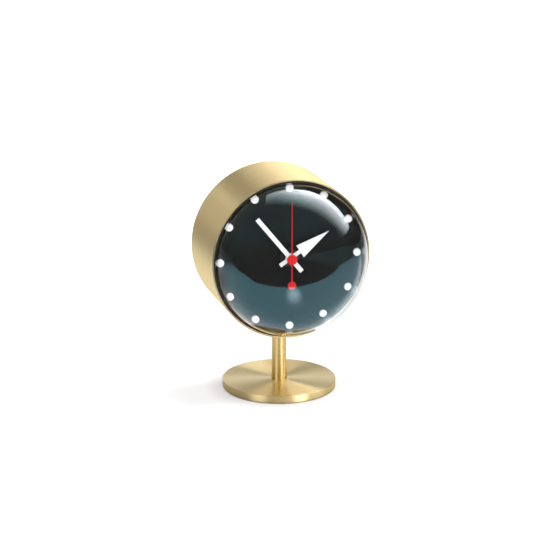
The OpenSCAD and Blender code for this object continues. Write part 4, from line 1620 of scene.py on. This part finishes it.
@dataclass(frozen=True)
class MetalFloor:
    """The floor as the brass mirrors it: pale, dim close to the base with painted shade, the clock's shadow
    to its left and a contact shadow at its edge, and two brighter strips.
    """

    distance: Ease = Ease(0.12, 0.9, 0.86, 0.4)
    shade_side: Ease = Ease(-0.03, 0.0, 0.6, 0.0)
    shade_reach: Ease = Ease(0.04, 0.09, 1.0, 0.0)
    # Painted contact shadow: the mirrored floor darkens right at the base's edge.
    contact: Ease = Ease(0.038, 0.043, 0.3, 1.0)
    off_sheet: Ease = Ease(0.0, 1.0, 0.05, 1.0)
    strips: tuple[Panel, ...] = (Panel(304, 17, 2.4), Panel(218, 26, 0.5))
    strip_middle: Point2 = (-0.010, -0.020)
    strip_start: Ease = Ease(0.039, 0.045)
    strip_end: Ease = Ease(0.4, 0.7, 1.0, 0.0)
    warm_tone: Colour = (1.0, 0.89, 0.64)
    warm_reach: Ease = Ease(0.042, 0.12)

    def colour(self, graph: Graph, x: Fed, y: Fed, sheet: Fed) -> Socket:
        """Colour of the mirrored floor.

        Args:
            graph: The floor's graph.
            x: Place to the right.
            y: Place towards the back.
            sheet: 1 on the lit sheet, and 0 in front of it.

        Returns:
            The colour.
        """
        away = graph.length(x, y)
        # Painted shade: the clock's shadow to the left of the base, and its contact shadow at the edge.
        shade = graph.times(graph.ease(x, self.shade_side), graph.ease(away, self.shade_reach))
        near = graph.times(graph.ease(away, self.distance), graph.rest(shade), graph.ease(away, self.contact))
        level = graph.times(near, graph.ease(sheet, self.off_sheet))
        middle_x, middle_y = self.strip_middle
        turn = graph.bearing(graph.math("SUBTRACT", x, middle_x), graph.math("SUBTRACT", y, middle_y))
        ends = graph.times(graph.ease(away, self.strip_start), graph.ease(away, self.strip_end))
        for strip in self.strips:
            level = graph.total(level, graph.times(strip.at(graph, turn), ends))
        tone = graph.blend(graph.ease(away, self.warm_reach), self.warm_tone, WHITE)
        return graph.blend(level, BLACK, tone)


@dataclass(frozen=True)
class Floor:
    """Pale floor under the clock, that keeps the shadow, with a painted contact shadow next to the base."""

    size: float = 9.0
    drop: float = 0.1 * MM
    tone: Colour = (0.60, 0.605, 0.62)
    glow_reach: Ease = Ease(0.08, 0.33, 0.34, 1.0)
    # Painted contact shadow: less glow right next to the base, so the floor shows darker there.
    glow_contact_shadow: Ease = Ease(0.038, 0.054, 0.6, 1.0)
    glow_start: Ease = Ease(0.0375, 0.0385)
    sheet: Sheet = Sheet()
    lens_floor: LensFloor = LensFloor()
    metal_floor: MetalFloor = MetalFloor()

    def material(self) -> bpy.types.Material:
        """White floor with its own glow for the camera, and plainer ones for what lens and metal mirror.

        Returns:
            The material.
        """
        made, graph = stage_material("studio_floor")
        seen, gloss = ray_kinds(graph)
        x, y, _ = graph.parts(graph.add("ShaderNodeTexCoord").outputs["Object"])
        away = graph.length(x, y)
        sheet = self.sheet.share(graph, x, y)
        on_metal = self.metal_floor.colour(graph, x, y, sheet)
        in_dome = self.lens_floor.colour(graph, x, y, sheet)
        mirrored = graph.add("ShaderNodeEmission", {"Color": graph.blend(in_lens(graph), on_metal, in_dome)})
        matt = graph.add("ShaderNodeBsdfDiffuse", {"Color": self.tone})
        # The glow is weaker next to the base: painted contact shadow.
        steps = [graph.ease(away, step) for step in (self.glow_reach, self.glow_contact_shadow, self.glow_start)]
        glow = graph.add("ShaderNodeEmission", {"Color": WHITE, "Strength": graph.times(seen, *steps)})
        plain = graph.add("ShaderNodeAddShader", {0: matt.outputs[0], 1: glow.outputs[0]})
        both = graph.add("ShaderNodeMixShader", {0: gloss, 1: plain.outputs[0], 2: mirrored.outputs[0]})
        graph.add("ShaderNodeOutputMaterial", {"Surface": both.outputs[0]})
        return made

    def build(self) -> None:
        """Lays the floor just under the pad."""
        bpy.ops.object.select_all(action="DESELECT")
        bpy.ops.mesh.primitive_plane_add(size=self.size, location=(0.0, 0.0, -self.drop))
        floor = bpy.context.active_object
        floor.name = "studio_floor"
        floor.data.materials.append(self.material())


@dataclass(frozen=True)
class Softbox:
    """Long flat softbox that passes over the clock from the front right to the back left.

    Its corners are azimuths and elevations: near inner, near outer, far outer and far inner.
    """

    height: float = 0.1
    distance: float = 1.3
    steps: tuple[int, int] = (48, 12)
    corners: tuple[Point2, ...] = ((47.0, 5.5), (82.0, 15.0), (-168.0, 49.0), (-88.0, 67.0))
    metal_power: float = 3.3
    lens_power: float = 16.0
    lens_far: Ease = Ease(0.55, 0.95, 1.0, 0.42)
    side_fade: Ease = Ease(-0.08, 0.85)
    along_levels: tuple[Point2, ...] = (
        (0.0, 0.35), (0.12, 0.8), (0.3, 1.0), (0.55, 0.9), (0.8, 0.45), (1.0, 0.38))
    metal_tone: Colour = (1.0, 0.97, 0.93)
    lens_tone: Colour = (1.0, 0.53, 0.46)
    lens_tone_far: Colour = (1.0, 0.74, 0.66)
    tone_along: Ease = Ease(0.3, 0.9)
    tone_across: Ease = Ease(0.5, 1.0, 0.0, 0.45)

    def material(self) -> bpy.types.Material:
        """Glow that only gloss shows; it is warm in the coated lens, and white elsewhere.

        Returns:
            The material.
        """
        made, graph = stage_material("softbox_glow")
        _, gloss = ray_kinds(graph)
        dome = in_lens(graph)
        along, across, _ = graph.parts(graph.add("ShaderNodeTexCoord").outputs["UV"])
        power = graph.ease(dome, Ease(0.0, 1.0, self.metal_power, self.lens_power))
        power = graph.times(power, graph.ease(graph.times(dome, along), self.lens_far))
        levels = graph.ramp(along, self.along_levels)
        strength = graph.times(graph.ease(across, self.side_fade), levels, power)
        lens_tone = graph.blend(graph.ease(along, self.tone_along), self.lens_tone, self.lens_tone_far)
        lens_tone = graph.blend(graph.ease(across, self.tone_across), lens_tone, WHITE)
        tone = graph.blend(dome, self.metal_tone, lens_tone)
        glow = graph.add("ShaderNodeEmission", {"Color": tone, "Strength": strength})
        clear = graph.add("ShaderNodeBsdfTransparent")
        both = graph.add("ShaderNodeMixShader", {0: gloss, 1: clear.outputs[0], 2: glow.outputs[0]})
        graph.add("ShaderNodeOutputMaterial", {"Surface": both.outputs[0]})
        return made

    def build(self) -> None:
        """Stretches a grid between the corners."""
        bpy.ops.object.select_all(action="DESELECT")
        along, across = self.steps
        bpy.ops.mesh.primitive_grid_add(x_subdivisions=along, y_subdivisions=across, size=1.0, calc_uvs=True)
        card = bpy.context.active_object
        card.name = "softbox"
        centre = Vector((0.0, 0.0, self.height))
        corners = [centre + towards(*corner) * self.distance for corner in self.corners]
        near_inner, near_outer, far_outer, far_inner = corners
        # The grid is 1 wide and 1 high about the origin, so both shares go from 0 to 1.
        for vertex in card.data.vertices:
            share, rise = vertex.co.x + 0.5, vertex.co.y + 0.5
            vertex.co = near_inner.lerp(far_inner, share).lerp(near_outer.lerp(far_outer, share), rise)
        card.data.materials.append(self.material())


@dataclass(frozen=True)
class Room:
    """White surroundings, with the walls and panels that metal and lens mirror.

    The standing walls show round the post, and the rear ones, before and behind the clock, round the drum.
    """

    ambient: float = 0.95
    wall_level: float = 0.16
    wall_tone: Colour = (1.0, 0.95, 0.82)
    tone_level: Ease = Ease(0.35, 0.9)
    walls: tuple[Panel, ...] = (
        Panel(210, 32, 2.0), Panel(300, 20, 6.0), Panel(345, 70, 0.2), Panel(105, 130, 0.15))
    wall_rise: Ease = Ease(0.08, 0.34, 0.4, 1.1)
    rear_level: float = 0.36
    rear: tuple[Panel, ...] = (Panel(28, 80, 0.7), Panel(134, 12, 1.2))
    rear_share: Ease = Ease(0.72, 0.92)
    ceiling: Ease = Ease(0.45, 0.9, 1.0, 0.5)
    corner_right: Ease = Ease(0.2, 0.45)
    corner_back: Ease = Ease(0.2, 0.5)
    lens_level: Ease = Ease(0.0, 1.0, 0.19, 0.03)
    lens_rise: Ease = Ease(-0.05, 0.45, 0.25, 1.0)

    def on_metal(self, graph: Graph, x: Fed, y: Fed, z: Fed) -> Socket:
        """Brightness of the surroundings as metal shows it.

        Args:
            graph: The world's graph.
            x: Direction's part to the right.
            y: Direction's part towards the back.
            z: Direction's part upwards.

        Returns:
            The brightness.
        """
        round_post, round_drum = graph.bearing(x, y), graph.bearing(x, z)
        rise = graph.ease(z, self.wall_rise)
        standing: Fed = self.wall_level
        for panel in self.walls:
            standing = graph.total(standing, graph.times(panel.at(graph, round_post), rise))
        behind: Fed = self.rear_level
        for panel in self.rear:
            behind = graph.total(behind, panel.at(graph, round_drum))
        share = graph.ease(graph.math("ABSOLUTE", y), self.rear_share)
        walls = graph.total(graph.times(graph.rest(share), standing), graph.times(share, behind))
        return graph.times(walls, graph.ease(z, self.ceiling))

    def build(self) -> None:
        """Makes the world's nodes."""
        world = bpy.data.worlds.new("studio_world")
        world.use_nodes = True
        world.cycles.sampling_method = "NONE"
        bpy.context.scene.world = world
        graph = Graph(world.node_tree)
        x, y, z = graph.parts(graph.add("ShaderNodeTexCoord").outputs["Generated"])
        walls = self.on_metal(graph, x, y, z)
        corner = graph.times(graph.ease(x, self.corner_right), graph.ease(y, self.corner_back))
        dim = graph.times(graph.ease(corner, self.lens_level), graph.ease(z, self.lens_rise))
        dome = in_lens(graph)
        mirrored = graph.total(graph.times(dome, dim), graph.times(graph.rest(dome), walls))
        tone = graph.blend(graph.ease(walls, self.tone_level), self.wall_tone, WHITE)
        seen, gloss = ray_kinds(graph)
        soft = graph.add("ShaderNodeBackground", {"Color": WHITE, "Strength": self.ambient})
        white = graph.add("ShaderNodeBackground", {"Color": WHITE, "Strength": 1.0})
        studio = graph.add("ShaderNodeBackground", {"Color": tone, "Strength": mirrored})
        unseen = graph.add("ShaderNodeMixShader", {0: gloss, 1: soft.outputs[0], 2: studio.outputs[0]})
        both = graph.add("ShaderNodeMixShader", {0: seen, 1: unseen.outputs[0], 2: white.outputs[0]})
        graph.add("ShaderNodeOutputWorld", {"Surface": both.outputs[0]})


@dataclass(frozen=True)
class Lamp:
    """Soft square lamp that looks at the clock; its angles are in degrees and its power in watts."""

    name: str
    azimuth: float
    elevation: float
    size: float
    power: float
    distance: float = 1.3

    def build(self, target: Vector) -> None:
        """Hangs the lamp where gloss and the clear lens don't show it.

        Args:
            target: The point that it looks at.
        """
        data = bpy.data.lights.new(self.name, "AREA")
        data.shape = "SQUARE"
        data.size = self.size
        data.energy = self.power
        lamp = bpy.data.objects.new(self.name, data)
        bpy.context.scene.collection.objects.link(lamp)
        out = towards(self.azimuth, self.elevation)
        lamp.location = target + out * self.distance
        lamp.rotation_euler = (-out).to_track_quat("-Z", "Y").to_euler()
        lamp.visible_glossy = False
        lamp.visible_transmission = False


@dataclass
class Studio:
    """Floor, surroundings, soft lamps and camera."""

    target_height: float = 73.6 * MM
    distance: float = 1.361
    azimuth: float = -16.67
    elevation: float = 16.72
    focal_length: float = 130.0
    photo_width_px: float = 560.0
    shift_right_px: float = 1.01
    shift_up_px: float = 1.41
    clip: Point2 = (0.05, 30.0)
    floor: Floor = Floor()
    softbox: Softbox = Softbox()
    room: Room = Room()
    lamps: tuple[Lamp, ...] = (
        Lamp("key_lamp", 96.0, 72.0, 0.6, 10.0), Lamp("front_lamp", -17.0, 17.0, 0.8, 7.0))

    @property
    def target(self) -> Vector:
        """Point that camera and lamps look at."""
        return Vector((0.0, 0.0, self.target_height))

    def build_camera(self) -> None:
        """Camera where the photograph was taken from."""
        data = bpy.data.cameras.new("view_camera")
        data.lens = self.focal_length
        data.shift_x = self.shift_right_px / self.photo_width_px
        data.shift_y = self.shift_up_px / self.photo_width_px
        data.clip_start, data.clip_end = self.clip
        camera = bpy.data.objects.new("view_camera", data)
        bpy.context.scene.collection.objects.link(camera)
        back = towards(self.azimuth, self.elevation)
        camera.location = self.target + back * self.distance
        camera.rotation_euler = (-back).to_track_quat("-Z", "Y").to_euler()
        bpy.context.scene.camera = camera

    def build(self) -> None:
        """Builds the studio."""
        bpy.context.scene.view_settings.view_transform = "Standard"
        self.build_camera()
        self.floor.build()
        self.softbox.build()
        self.room.build()
        for lamp in self.lamps:
            lamp.build(self.target)


def main() -> None:
    """Builds the studio, the pieces and their finishes, in order."""
    logging.basicConfig(level=logging.INFO, format="%(name)s: %(message)s")
    Studio().build()
    wardrobe = Wardrobe()
    Stand().build(wardrobe)
    Case().build(wardrobe)
    Hands().build(wardrobe)
    Back().build(wardrobe)
    wardrobe.dress_frame()


if __name__ == "__main__":
    main()
